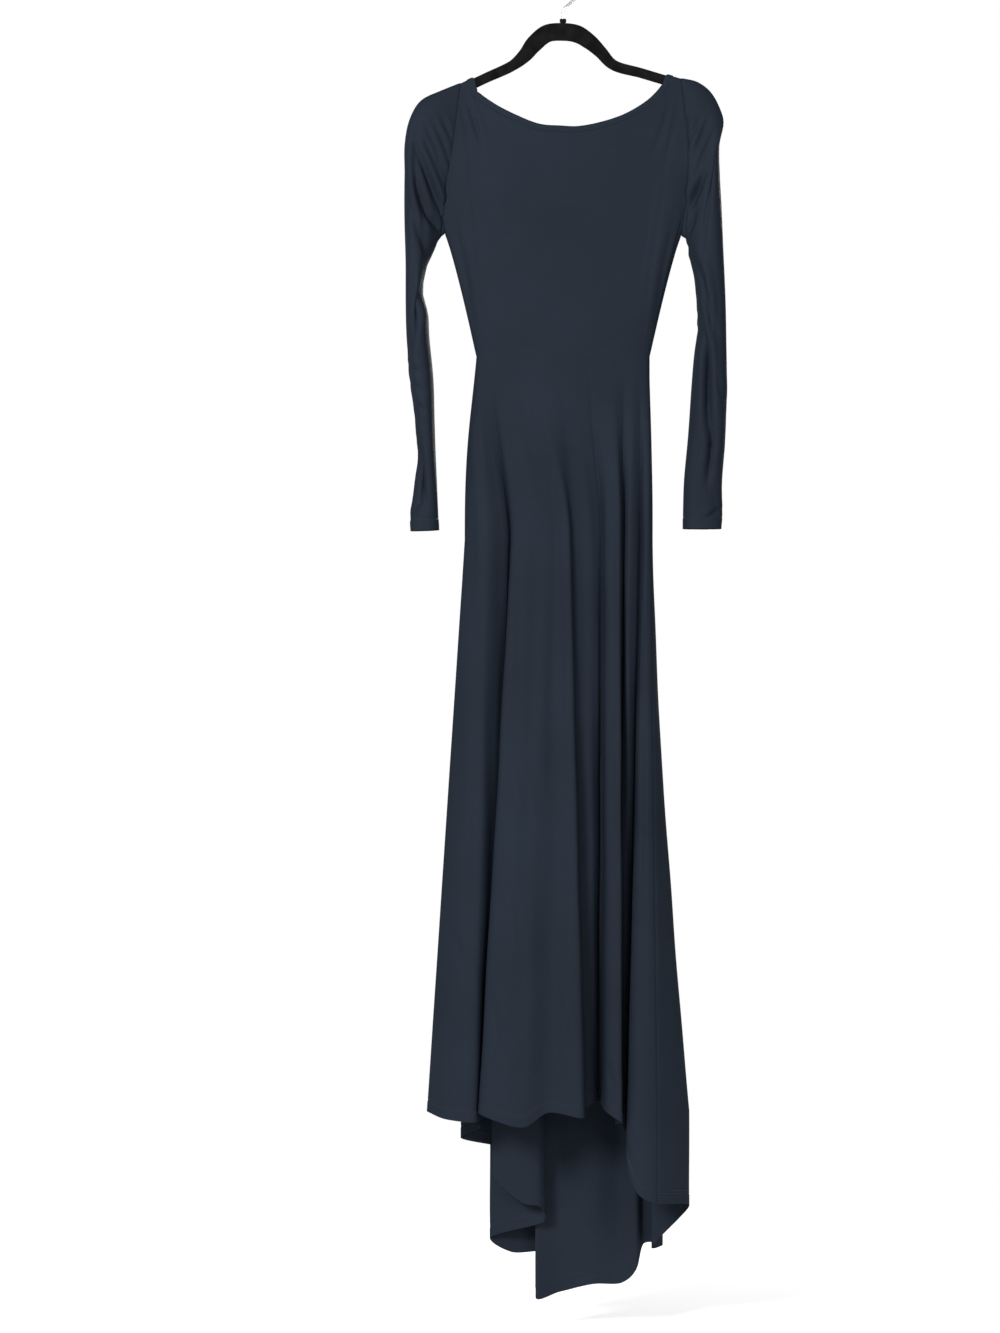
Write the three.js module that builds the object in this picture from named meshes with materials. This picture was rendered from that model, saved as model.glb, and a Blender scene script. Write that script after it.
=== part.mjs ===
// A long-sleeved jersey maxi dress with a high-low hem, hung on a slim flocked hanger.
// Millimetres, +Z up, +X to the right of someone facing the dress, whose front looks along -Y.
// The origin is the inside of the hook's crown, where a rail holds the hanger.
import * as THREE from 'three';

// Cloth and sewing
const CLOTH = 1.2;
const BINDING_CLOTH = 1.8;
const BINDING_WIDTH = 6.5;
const SEAM_GAP = 0.3;

// Levels of the body, down from the hook's crown
const WAIST_Z = -535;
const HIP_Z = -791;
const HEM_Z = -1590;

// Flatness of the bodice's section: a higher number is boxier
const BODICE_ROUNDNESS = 2.6;

// The bodice's sides curve in towards the waist: 1 is straight, less is hollower
const SIDE_HOLLOW = 0.85;

// Slim hanger: the arms' top edges run from the foot of the hump to the tips
const HANGER_THICK = 5;
const ARM_HEIGHT = 14;
const ARMS = {
  left: { footX: -70, footZ: -118.6, slope: 0.48, tipX: -188 },
  right: { footX: 70, footZ: -118.6, slope: 0.3, tipX: 184 },
};

// The cloth lies this far over an arm's top edge, and rounds over it this widely
const ARM_LIFT = 1.2;
const ARM_ROUND_WIDTH = 4.2;
const ARM_ROUND_DROP = 3.7;
const ARM_ROUND_STEP = 1.1;

// Slope of the bodice's front and back below the arms
const BODICE_SPREAD = 0.13;

// Hook and collar
const HOOK_INNER_RADIUS = 20;
const HOOK_WIRE = 3.5;
const HOOK_TIP_ANGLE = 205;
const HOOK_LAST_ANGLE = -55;
const COLLAR_TOP_Z = -62;
const COLLAR_RADIUS = 4.6;
const COLLAR_CHAMFER = 1;
const HUMP_TOP_Z = -67.6;

// Turns rows of numbers into records with named columns
function table(columns, rows) {
  return rows.map((row) => Object.fromEntries(columns.map((name, i) => [name, row[i]])));
}

// Middle line of the hook's shank, below its bow
const HOOK_SHANK = table(['x', 'z'], [[2.5, -46.5], [0, -53], [0, COLLAR_TOP_Z + SEAM_GAP]]);

// Half depth of the bodice, where the arms no longer set it, and its side lines
const BODICE = table(['z', 'depth', 'left', 'right'], [
  [-215, 15, -120, 120],
  [-300, 20, -120, 120],
  [-362, 23, -120, 120],
  [WAIST_Z, 21, -120.4, 120.4],
  [-567, 21, -123, 120.4],
  [-651, 22, -129, 122],
  [-735, 23, -134, 123.5],
  [HIP_Z, 24, -137, 124.6],
]);
const BODICE_WAIST = BODICE.find((row) => row.z === WAIST_Z);

// Armhole seam of the front and back, from the underarm up
const ARMHOLES = {
  left: table(['x', 'z'], [[-165.2, -361.6], [-168.5, -334], [-162.5, -285], [-153, -231], [-146.5, -180]]),
  right: table(['x', 'z'], [[165.2, -364.4], [168.5, -343], [175, -301], [175, -231], [169, -180]]),
};

// Where the shoulder seam starts at the neck and ends at the armhole
const SHOULDERS = {
  left: { neckX: -133, armX: -142 },
  right: { neckX: 152.5, armX: 164 },
};

// How far the neck edge and the armhole lean aside as they climb over an arm
const NECK_LEAN = 3.7;
const ARMHOLE_LEAN = 1.6;

// Neck edge of each panel, below the binding, from the left shoulder to the right one
const NECKS = {
  front: table(['x', 'z'], [
    [-125.5, -168], [-108.5, -181], [-84, -196], [-36, -216.5], [-4, -219.5], [24, -220],
    [80, -206], [119, -184], [136.5, -167.5], [146, -155],
  ]),
  back: table(['x', 'z'], [
    [-125.5, -171], [-108.5, -192], [-84, -214], [-36, -240], [-4, -245], [24, -245.5],
    [80, -228], [119, -200], [136.5, -176], [146, -158],
  ]),
};

// Fold lines of the skirt round the body, one row each: across and depth at the hip and the hem
const FOLD_COLUMNS = ['xHip', 'xHem', 'yHip', 'yHem', 'zHem'];
const FRONT_FOLDS = table(FOLD_COLUMNS, [
  [-137, -189, 0, -5, -1591],
  [-122, -165, -16, -38, -1598],
  [-106, -141, -22, -50, -1602],
  [-85, -115, -14, -24, -1599],
  [-73, -101, -8, -10, -1595],
  [-71, -118, -20, -48, -1589],
  [-52, -91, -27, -66, -1599],
  [-25, -55, -28, -70, -1606],
  [-4, -21, -27, -60, -1587],
  [8, 15, -26, -68, -1594],
  [15, 32, -18, -48, -1584],
  [38, 43, -12, -22, -1576],
  [56, 52, -8, -16, -1576],
  [62, 49, -18, -52, -1587],
  [78, 80, -22, -58, -1601],
  [85, 70, -10, -22, -1608],
  [95, 87, -14, -17, -1617],
  [104, 108, -9, -16, -1631],
  [108, 84, -16, -45, -1664],
  [113, 100, -18, -57, -1701],
  [119, 127, -13, -52, -1714],
]);
const BACK_FOLDS = table(FOLD_COLUMNS, [
  [124.6, 176, 0, -8, -1721],
  [116, 161, 18, 22, -1746],
  [108, 125, 22, 28, -1785],
  [99, 141, 28, 52, -1785],
  [91, 115, 28, 62, -1785],
  [80, 104, 22, 49, -1820],
  [60, 83, 26, 58, -1840],
  [31, 43, 23, 54, -1841],
  [-4, -4, 28, 62, -1853],
  [-32, -38, 24, 56, -1860],
  [-46, -10, 28, 84, -1802],
  [-60, -71, 28, 76, -1799],
  [-74, -102, 26, 64, -1777],
  [-84, -25, 20, 40, -1750],
  [-92, -31, 20, 26, -1728],
  [-102, -60, 22, 22, -1720],
  [-111, -99, 22, 28, -1679],
  [-118, -74, 20, 46, -1652],
  [-125, -143, 17, 42, -1633],
  [-130, -116, 12, 24, -1615],
]);

// How the front and back fold lines move across between hip and hem: 1 is even, more is later
const FRONT_DRIFT = 1;
const BACK_DRIFT = 1.4;
const BACK_OPENING = 0.8;

// Rows of the body grid: drops in mm below the top edge, then counts of even rows
const TOP_DROPS = [0, 1.2, 4, 11];
const UNDERARM_STRETCH = 3.5;
const BODICE_ROWS = 6;
const HIP_ROWS = 4;
const SKIRT_ROWS = 10;

// Columns of the body grid: two for each fold line
const FRONT_COLUMNS = 2 * (FRONT_FOLDS.length - 1);
const BODY_COLUMNS = 2 * (FRONT_FOLDS.length + BACK_FOLDS.length);
const BACK_COLUMNS = BODY_COLUMNS - FRONT_COLUMNS;
const ARMHOLE_COLUMNS = 8;
const SHOULDER_COLUMNS = 2;

// Of the armhole and neck columns, these climb over an arm
const CLIMB_COLUMNS = 3;

// Sleeve sections: the overarm line, the underarm line and the half depth
const SLEEVE_COLUMNS = ['outerX', 'outerZ', 'innerX', 'innerZ', 'depth'];
const SLEEVES = {
  left: table(SLEEVE_COLUMNS, [
    [-172, -163.5, -171, -366, 17],
    [-199, -177.5, -173.5, -370, 20],
    [-214, -203, -176.5, -376, 24],
    [-221, -238, -180.5, -384, 28],
    [-221, -280, -185, -395, 32],
    [-221, -336, -190.5, -411, 36],
    [-220, -399, -194.5, -430, 39],
    [-220, -455, -193, -462, 40],
    [-218.5, -511, -187.5, -514, 38],
    [-214, -567, -182, -570, 36],
    [-207, -623, -180.5, -623, 33],
    [-204.5, -672, -179, -672, 30],
    [-208.5, -721, -176.5, -721, 27],
    [-213, -756, -174.5, -756, 24],
    [-213, -779, -173.5, -777.5, 23],
  ]),
  right: table(SLEEVE_COLUMNS, [
    [187.5, -150.5, 172, -369, 17],
    [206, -164.5, 173.5, -376, 20],
    [218.5, -186.5, 175, -384, 23],
    [224, -206, 176.5, -394, 26],
    [218.5, -238, 179, -408, 29],
    [218.5, -280, 182, -423, 32],
    [221, -329, 185, -441, 34],
    [224, -385, 187.5, -460, 35],
    [227, -455, 188.5, -478, 34],
    [227.5, -518, 185, -525, 32],
    [228, -581, 180, -584, 31],
    [225.5, -651, 175, -651, 29],
    [222, -714, 169.5, -710, 26],
    [222.5, -756, 168, -754, 23],
    [221, -776, 168, -776, 22],
  ]),
};
const SLEEVE_BOXINESS = 0.8;

// Places round half a sleeve in degrees from the overarm: two close to the arm, then even ones
const OVERARM_ANGLES = [0, 8, 20];

// Large creases of the sleeves: middle section, place round from the overarm, drift, reach and depth
const CREASE_COLUMNS = ['section', 'round', 'drift', 'reach', 'width', 'depth'];
const SLEEVE_CREASES = {
  left: table(CREASE_COLUMNS, [
    [4, 4.5, 0.9, 1.4, 0.8, 5],
    [8, 4, -0.6, 1.3, 0.9, 4],
    [12, 4.5, 0.3, 1.2, 0.9, 4],
  ]),
  right: table(CREASE_COLUMNS, [
    [5, 12, -0.8, 1.3, 0.8, 4],
    [10, 12, 0.2, 1.7, 0.9, 6],
    [14, 13, 0.4, 0.8, 0.9, 3],
  ]),
};

// Middle line of the hanger's hump, and its height square to that line
const HUMP = table(['x', 'z', 'height'], [
  [-70, -126.8, 15],
  [-53, -112.5, 20],
  [-40.5, -97, 24],
  [-22.5, -82.5, 25],
  [-1.5, -80.1, 25],
  [19.5, -83, 25],
  [37.5, -94.2, 22],
  [52, -107.5, 18],
  [70, -126, 15],
]);
const ARM_SPOTS = [150, 110];
const HANGER_SIDES = 12;
const HANGER_STEPS = 44;

const point = (x, y, z) => new THREE.Vector3(x, y, z);
const mix = THREE.MathUtils.lerp;
const clamp = THREE.MathUtils.clamp;
const smooth = (t) => THREE.MathUtils.smoothstep(t, 0, 1);

// Whole numbers from one to another, both included
function range(from, to) {
  const step = Math.sign(to - from);
  return Array.from({ length: Math.abs(to - from) + 1 }, (_, i) => from + i * step);
}

// Value of one column of a table at a level, between its rows
function atLevel(rows, z, column) {
  const below = rows.findIndex((row) => row.z <= z);
  if (below <= 0) return rows[below === 0 ? 0 : rows.length - 1][column];
  const upper = rows[below - 1];
  const lower = rows[below];
  return mix(upper[column], lower[column], (upper.z - z) / (upper.z - lower.z));
}

// Level of an arm's top edge, and of the cloth over it
const armAt = (x) => (x < 0 ? ARMS.left : ARMS.right);
function armTop(x) {
  const arm = armAt(x);
  return arm.footZ - arm.slope * Math.abs(x - arm.footX) * Math.sign(Math.abs(x) - Math.abs(arm.footX));
}
const shoulderTop = (x) => armTop(x) + ARM_LIFT;

// Half depth of the bodice at a place on its front or back
function bodiceDepth(x, z, across) {
  const drop = Math.max(0, shoulderTop(x) - z);
  const turned = 1 - Math.min(drop, ARM_ROUND_DROP) / ARM_ROUND_DROP;
  const overArm = ARM_ROUND_WIDTH * Math.sqrt(1 - turned * turned);
  const hung = overArm + BODICE_SPREAD * Math.max(0, drop - ARM_ROUND_DROP);
  const flank = (1 - Math.min(1, Math.abs(across)) ** BODICE_ROUNDNESS) ** (1 / BODICE_ROUNDNESS);
  return Math.min(hung, atLevel(BODICE, z, 'depth')) * flank;
}

// Points along a smooth line through a table's places, evenly spaced in count
function along(rows, count) {
  const curve = new THREE.CatmullRomCurve3(rows.map((row) => point(row.x, 0, row.z)));
  return curve.getSpacedPoints(count - 1);
}

// The three points where an edge climbs over an arm to a place on it, lowest first
function overArm(x, lean) {
  const climb = table(['drop', 'lean'], [[ARM_ROUND_DROP, 1], [ARM_ROUND_STEP, 0.5], [0, 0]]);
  return climb.map((step) => {
    const place = x + step.lean * lean;
    return point(place, 0, shoulderTop(place) - step.drop);
  });
}

// Top edge of a panel, from the left underarm over the neck to the right underarm
function topEdge(neck, columns) {
  const neckColumns = columns - 2 * (ARMHOLE_COLUMNS + SHOULDER_COLUMNS);
  const { left, right } = SHOULDERS;
  const armholeCount = ARMHOLE_COLUMNS + 1 - CLIMB_COLUMNS;
  return [
    ...along(ARMHOLES.left, armholeCount),
    ...overArm(left.armX, -ARMHOLE_LEAN),
    point((left.armX + left.neckX) / 2, 0, shoulderTop((left.armX + left.neckX) / 2)),
    ...overArm(left.neckX, NECK_LEAN).reverse(),
    ...along(neck, neckColumns + 1 - 2 * CLIMB_COLUMNS),
    ...overArm(right.neckX, -NECK_LEAN),
    point((right.armX + right.neckX) / 2, 0, shoulderTop((right.armX + right.neckX) / 2)),
    ...overArm(right.armX, ARMHOLE_LEAN).reverse(),
    ...along(ARMHOLES.right, armholeCount).reverse(),
  ];
}

// How far across the section a column starts: 1 at the side seams, less along the armhole
function startAcross(place, column, columns) {
  const fromSeam = Math.min(column, columns - column);
  const seamSide = column * 2 < columns ? -1 : 1;
  const shoulderAcross = 0.55;
  const openingPower = 1.5;
  if (fromSeam > ARMHOLE_COLUMNS) return (shoulderAcross * place.x) / Math.abs(SHOULDERS.left.armX);
  const opened = Math.min(1, fromSeam / (ARMHOLE_COLUMNS - CLIMB_COLUMNS));
  return seamSide * mix(1, shoulderAcross, opened ** openingPower);
}

// Drops of a column's first rows, wider apart near the underarm
function topDrops(column, columns) {
  const nearUnderarm = Math.min(column, columns - column) <= ARMHOLE_COLUMNS - CLIMB_COLUMNS;
  return TOP_DROPS.map((drop) => drop * (nearUnderarm ? UNDERARM_STRETCH : 1));
}

// One column of the bodice, from the top edge to the waist
function bodiceColumn(top, column, columns, face) {
  const waistAcross = -Math.cos((Math.PI * column) / columns);
  const topAcross = startAcross(top, column, columns);
  const waistX = mix(BODICE_WAIST.left, BODICE_WAIST.right, (waistAcross + 1) / 2);
  const height = top.z - WAIST_Z;
  const firstDrops = topDrops(column, columns);
  const lastDrop = firstDrops.at(-1);
  const evenDrops = range(1, BODICE_ROWS).map((i) => mix(lastDrop, height, i / BODICE_ROWS));
  return [...firstDrops, ...evenDrops].map((drop) => {
    const share = drop / height;
    const z = top.z - drop;
    const x = mix(top.x, waistX, share ** SIDE_HOLLOW);
    return point(x, face * bodiceDepth(x, z, mix(topAcross, waistAcross, share)), z);
  });
}

// Closed line through the fold lines at a share of the way from hip to hem
function foldCurve(share) {
  const lines = [
    ...FRONT_FOLDS.map((fold) => ({ ...fold, across: share ** FRONT_DRIFT, open: share })),
    ...BACK_FOLDS.map((fold) => ({ ...fold, across: share ** BACK_DRIFT, open: share ** BACK_OPENING })),
  ];
  const points = lines.map((fold) => (
    point(mix(fold.xHip, fold.xHem, fold.across), mix(fold.yHip, fold.yHem, fold.open), 0)));
  return new THREE.CatmullRomCurve3(points, true, 'centripetal');
}

// Hem level of a column, between the two fold lines beside it
function hemLevel(bodyColumn) {
  const folds = [...FRONT_FOLDS, ...BACK_FOLDS];
  const before = folds[Math.floor(bodyColumn / 2) % folds.length];
  const after = folds[Math.ceil(bodyColumn / 2) % folds.length];
  return (before.zHem + after.zHem) / 2;
}

// Place of a column below the waist: the bodice's section turning into the folds
function skirtPoint(bodyColumn, column, columns, face, z) {
  const share = clamp((HIP_Z - z) / (HIP_Z - HEM_Z), 0, 1);
  const folded = foldCurve(share).getPoint((bodyColumn % BODY_COLUMNS) / BODY_COLUMNS);
  const turned = smooth((WAIST_Z - z) / (WAIST_Z - HIP_Z));
  const across = -Math.cos((Math.PI * column) / columns);
  const x = mix(atLevel(BODICE, z, 'left'), atLevel(BODICE, z, 'right'), (across + 1) / 2);
  const y = face * bodiceDepth(x, z, across);
  return point(mix(x, folded.x, turned), mix(y, folded.y, turned), z);
}

// Levels of a column below the waist
function skirtLevels(bodyColumn) {
  const hem = hemLevel(bodyColumn);
  const toHip = range(1, HIP_ROWS).map((i) => mix(WAIST_Z, HIP_Z, i / HIP_ROWS));
  const toHem = range(1, SKIRT_ROWS).map((i) => mix(HIP_Z, hem, i / SKIRT_ROWS));
  return [...toHip, ...toHem];
}

// Grid of one panel, its columns running from the left seam to the right one
function panelGrid(neck, columns, face, bodyColumnOf) {
  return topEdge(neck, columns).map((top, column) => {
    const bodyColumn = bodyColumnOf(column);
    const skirt = skirtLevels(bodyColumn).map((z) => skirtPoint(bodyColumn, column, columns, face, z));
    return [...bodiceColumn(top, column, columns, face), ...skirt];
  });
}

// Outward normals of a grid whose columns run round and whose rows run down
function gridNormals(grid, closed) {
  const count = grid.length;
  const rows = grid[0].length;
  return grid.map((line, i) => line.map((_, j) => {
    const next = closed ? grid[(i + 1) % count] : grid[Math.min(i + 1, count - 1)];
    const last = closed ? grid[(i + count - 1) % count] : grid[Math.max(i - 1, 0)];
    const round = next[j].clone().sub(last[j]);
    const down = line[Math.min(j + 1, rows - 1)].clone().sub(line[Math.max(j - 1, 0)]);
    return down.cross(round).normalize();
  }));
}

// Closed wall of cloth on a grid: two faces and the rims between them.
// A tube's top rim is split the other way from a panel's, so that the two match where they are sewn.
function wallGeometry(grid, normals, thick, closed) {
  const count = grid.length;
  const rows = grid[0].length;
  const positions = [];
  for (const side of [0.5, -0.5]) {
    grid.forEach((line, i) => line.forEach((p, j) => {
      positions.push(...p.clone().addScaledVector(normals[i][j], side * thick).toArray());
    }));
  }
  const faces = [];
  const outer = (i, j) => (i % count) * rows + j;
  const inner = (i, j) => count * rows + outer(i, j);
  const quad = (a, b, c, d) => faces.push(a, b, c, a, c, d);
  const lastColumn = closed ? count : count - 1;
  for (let i = 0; i < lastColumn; i += 1) {
    for (let j = 0; j < rows - 1; j += 1) {
      quad(outer(i, j), outer(i, j + 1), outer(i + 1, j + 1), outer(i + 1, j));
      quad(inner(i, j), inner(i + 1, j), inner(i + 1, j + 1), inner(i, j + 1));
    }
    if (closed) quad(outer(i + 1, 0), inner(i + 1, 0), inner(i, 0), outer(i, 0));
    else quad(outer(i, 0), outer(i + 1, 0), inner(i + 1, 0), inner(i, 0));
    quad(outer(i, rows - 1), inner(i, rows - 1), inner(i + 1, rows - 1), outer(i + 1, rows - 1));
  }
  if (!closed) {
    for (let j = 0; j < rows - 1; j += 1) {
      quad(outer(0, j), inner(0, j), inner(0, j + 1), outer(0, j + 1));
      quad(outer(count - 1, j), outer(count - 1, j + 1), inner(count - 1, j + 1), inner(count - 1, j));
    }
  }
  return indexedGeometry(positions, faces);
}

function indexedGeometry(positions, faces) {
  const geometry = new THREE.BufferGeometry();
  geometry.setAttribute('position', new THREE.Float32BufferAttribute(positions, 3));
  geometry.setIndex(faces);
  geometry.computeVertexNormals();
  return geometry;
}

// Solid bar through rings of points, closed at both ends
function barGeometry(rings) {
  const sides = rings[0].length;
  const positions = rings.flat().flatMap((p) => p.toArray());
  const faces = [];
  for (let i = 0; i < rings.length - 1; i += 1) {
    for (let j = 0; j < sides; j += 1) {
      const k = (j + 1) % sides;
      faces.push(i * sides + j, (i + 1) * sides + k, (i + 1) * sides + j);
      faces.push(i * sides + j, i * sides + k, (i + 1) * sides + k);
    }
  }
  const last = (rings.length - 1) * sides;
  for (let j = 1; j < sides - 1; j += 1) {
    faces.push(0, j + 1, j);
    faces.push(last, last + j, last + j + 1);
  }
  return indexedGeometry(positions, faces);
}

// Materials
const jersey = () => new THREE.MeshStandardMaterial({ color: 0x262c36, roughness: 0.8, metalness: 0 });
const flock = () => new THREE.MeshStandardMaterial({ color: 0x0c0c0d, roughness: 0.95, metalness: 0 });
const plated = () => new THREE.MeshStandardMaterial({ color: 0xb9bbbd, roughness: 0.3, metalness: 1 });

function named(name, geometry, material) {
  const mesh = new THREE.Mesh(geometry, material);
  mesh.name = name;
  return mesh;
}

// Both panels on one grid round the body: the front's columns, then the back's from right to left
const backColumnOf = (column) => (BODY_COLUMNS - column) % BODY_COLUMNS;
const frontGrid = panelGrid(NECKS.front, FRONT_COLUMNS, -1, (column) => column);
const backGrid = panelGrid(NECKS.back, BACK_COLUMNS, 1, backColumnOf).reverse();
const bodyGrid = [...frontGrid, ...backGrid.slice(1, -1)];
const bodyNormals = gridNormals(bodyGrid, true);

// Columns of the body grid round each armhole, from the shoulder tip, down and up again
const RIGHT_BACK_TIP = FRONT_COLUMNS + ARMHOLE_COLUMNS;
const ARMHOLE_LOOPS = {
  left: [...range(ARMHOLE_COLUMNS, 0), ...range(BODY_COLUMNS - 1, BODY_COLUMNS - ARMHOLE_COLUMNS + 1)],
  right: [
    FRONT_COLUMNS - ARMHOLE_COLUMNS,
    ...range(RIGHT_BACK_TIP - 1, FRONT_COLUMNS),
    ...range(FRONT_COLUMNS - 1, FRONT_COLUMNS - ARMHOLE_COLUMNS + 1),
  ],
};

// Square to an arm's top edge, up
function armUp(x) {
  return point(Math.sign(x) * armAt(x).slope, 0, 1).normalize();
}

// Columns of each panel's neck edge between the shoulder seams
const NECK_START = ARMHOLE_COLUMNS + SHOULDER_COLUMNS;
const NECK_RUNS = {
  front: range(NECK_START + 1, FRONT_COLUMNS - NECK_START - 1),
  back: range(FRONT_COLUMNS + NECK_START + 1, BODY_COLUMNS - NECK_START - 1),
};

// Shoulder seams face straight off the arms, on both panels
const SHOULDER_SEAMS = [
  [range(ARMHOLE_COLUMNS, ARMHOLE_COLUMNS + SHOULDER_COLUMNS),
    range(BODY_COLUMNS - ARMHOLE_COLUMNS, BODY_COLUMNS - ARMHOLE_COLUMNS - SHOULDER_COLUMNS)],
  [range(FRONT_COLUMNS - ARMHOLE_COLUMNS, FRONT_COLUMNS - ARMHOLE_COLUMNS - SHOULDER_COLUMNS),
    range(RIGHT_BACK_TIP, RIGHT_BACK_TIP + SHOULDER_COLUMNS)],
];
for (const column of SHOULDER_SEAMS.flat(2)) bodyNormals[column][0] = armUp(bodyGrid[column][0].x);

// Neck edges climb the arms steeply, so their normals come from the bodice's depth beside each point
function depthNormal(p, face) {
  const reach = 0.2;
  const across = 0;
  const slopeX = bodiceDepth(p.x + reach, p.z, across) - bodiceDepth(p.x - reach, p.z, across);
  const slopeZ = bodiceDepth(p.x, p.z + reach, across) - bodiceDepth(p.x, p.z - reach, across);
  return point(-slopeX, face * 2 * reach, -slopeZ).normalize();
}
for (const [columns, face] of [[NECK_RUNS.front, -1], [NECK_RUNS.back, 1]]) {
  for (const column of columns) {
    TOP_DROPS.forEach((_, row) => {
      bodyNormals[column][row] = depthNormal(bodyGrid[column][row], face);
    });
  }
}

// Inward creases of a sleeve
function creaseDepth(creases, section, round) {
  return creases.reduce((depth, crease) => {
    const along = (section - crease.section) / crease.reach;
    const off = (round - crease.round - crease.drift * (section - crease.section)) / crease.width;
    return depth + crease.depth * Math.exp(-along * along - off * off);
  }, 0);
}

// Angles round a sleeve, spaced as the armhole's points are
function sleeveAngles() {
  const last = OVERARM_ANGLES.at(-1);
  const evenSteps = ARMHOLE_COLUMNS + 1 - OVERARM_ANGLES.length;
  const even = range(1, evenSteps).map((i) => mix(last, 180, i / evenSteps));
  const half = [...OVERARM_ANGLES, ...even];
  const otherHalf = half.slice(1, -1).reverse().map((angle) => 360 - angle);
  return [...half, ...otherHalf].map(THREE.MathUtils.degToRad);
}
const SLEEVE_ANGLES = sleeveAngles();

// One ring of a sleeve, from the overarm, down one side and up the other
function sleeveRing(row, firstFace) {
  const middle = point((row.outerX + row.innerX) / 2, 0, (row.outerZ + row.innerZ) / 2);
  const up = point((row.outerX - row.innerX) / 2, 0, (row.outerZ - row.innerZ) / 2);
  const bend = (value) => Math.sign(value) * Math.abs(value) ** SLEEVE_BOXINESS;
  return SLEEVE_ANGLES.map((angle) => {
    const p = middle.clone().addScaledVector(up, bend(Math.cos(angle)));
    return p.setY(firstFace * row.depth * bend(Math.sin(angle)));
  });
}

// Grid of a sleeve: its armhole points, then its rings, with creases pressed in
function sleeveGrid(side) {
  const armhole = ARMHOLE_LOOPS[side].map((column) => bodyGrid[column][0].clone());
  const rings = SLEEVES[side].map((row) => sleeveRing(row, side === 'left' ? -1 : 1));
  const smoothGrid = armhole.map((start, i) => [start, ...rings.map((ring) => ring[i])]);
  const normals = gridNormals(smoothGrid, true);
  return smoothGrid.map((line, i) => line.map((p, j) => (
    p.clone().addScaledVector(normals[i][j], -creaseDepth(SLEEVE_CREASES[side], j, i)))));
}

// Joins a sleeve to the armhole: one shared normal, and the seam gap between them
function seatSleeve(side) {
  const grid = sleeveGrid(side);
  const normals = gridNormals(grid, true);
  const loop = ARMHOLE_LOOPS[side];
  loop.forEach((column, i) => {
    const shared = bodyNormals[column][0].clone().add(normals[i][0]).normalize();
    const next = bodyGrid[loop[(i + 1) % loop.length]][0];
    const last = bodyGrid[loop.at(i - 1)][0];
    const away = next.clone().sub(last).cross(shared).normalize();
    bodyNormals[column][0] = shared;
    normals[i][0] = shared;
    grid[i][0] = bodyGrid[column][0].clone().addScaledVector(away, SEAM_GAP);
  });
  return { grid, normals };
}
const sleeves = { left: seatSleeve('left'), right: seatSleeve('right') };

// A panel's share of the body grid, with its seam edges drawn back by half the gap
function panelWall(columns, shoulderColumns) {
  const grid = columns.map((column) => bodyGrid[column % BODY_COLUMNS].map((p) => p.clone()));
  const normals = columns.map((column) => bodyNormals[column % BODY_COLUMNS]);
  const drawBack = (line, neighbour) => line.forEach((p, j) => {
    p.add(neighbour[j].clone().sub(p).setLength(SEAM_GAP / 2));
  });
  drawBack(grid[0], grid[1]);
  drawBack(grid.at(-1), grid.at(-2));
  for (const column of shoulderColumns) {
    const line = grid[columns.indexOf(column)];
    line[0].y += Math.sign(line.at(TOP_DROPS.length).y) * (SEAM_GAP / 2);
  }
  return wallGeometry(grid, normals, CLOTH, false);
}

// Along an arm's top edge, towards the middle of the hanger
function armInward(x) {
  return point(-Math.sign(x), 0, armAt(x).slope).normalize();
}

// Whether a column of the neck loop lies on the arm that a crossing is on
function isBeside(loop, column, crossing) {
  const steps = Math.abs(loop.indexOf(column) - loop.indexOf(crossing));
  return Math.min(steps, loop.length - steps) < CLIMB_COLUMNS;
}

// Neck binding: the strip above the panels' neck edges, over both arms
function bindingGeometry() {
  const crossings = SHOULDER_SEAMS.map(([front]) => front.at(-1));
  const loop = [crossings[0], ...NECK_RUNS.front, crossings[1], ...NECK_RUNS.back];
  const normals = loop.map((column) => bodyNormals[column][0].clone());
  const isOverArm = (column) => crossings.some((crossing) => isBeside(loop, column, crossing));
  const lift = (BINDING_CLOTH - CLOTH) / 2;
  const grid = loop.map((column, i) => {
    const edge = bodyGrid[column][0];
    const next = bodyGrid[loop[(i + 1) % loop.length]][0];
    const last = bodyGrid[loop[(i + loop.length - 1) % loop.length]][0];
    const square = normals[i].clone().cross(next.clone().sub(last)).normalize();
    const up = isOverArm(column) ? armInward(edge.x) : square;
    const lifted = edge.clone().addScaledVector(normals[i], lift);
    return [1, 0.5, 0].map((share) => lifted.clone().addScaledVector(up, SEAM_GAP + share * BINDING_WIDTH));
  });
  return wallGeometry(grid, normals.map((n) => [n, n, n]), BINDING_CLOTH, true);
}

// Hanger: a rounded bar along both arms and the hump
function hangerGeometry() {
  const armRow = (x) => {
    const upright = ARM_HEIGHT * Math.hypot(1, armAt(x).slope);
    return { x, z: armTop(x) - upright / 2, height: ARM_HEIGHT };
  };
  const leftArm = [ARMS.left.tipX, ...ARM_SPOTS.map((x) => -x)];
  const rightArm = [ARMS.right.tipX, ...ARM_SPOTS].reverse();
  const spine = [...leftArm.map(armRow), ...HUMP, ...rightArm.map(armRow)];
  const curve = new THREE.CatmullRomCurve3(spine.map((row) => point(row.x, 0, row.z)), false, 'centripetal');
  const rings = range(0, HANGER_STEPS).map((step) => {
    const t = step / HANGER_STEPS;
    const place = t * (spine.length - 1);
    const before = spine[Math.floor(place)];
    const after = spine[Math.ceil(place)];
    const height = mix(before.height, after.height, place % 1);
    const tangent = curve.getTangent(t);
    return hangerRing(curve.getPoint(t), tangent, height);
  });
  return barGeometry(rings);
}

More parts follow.
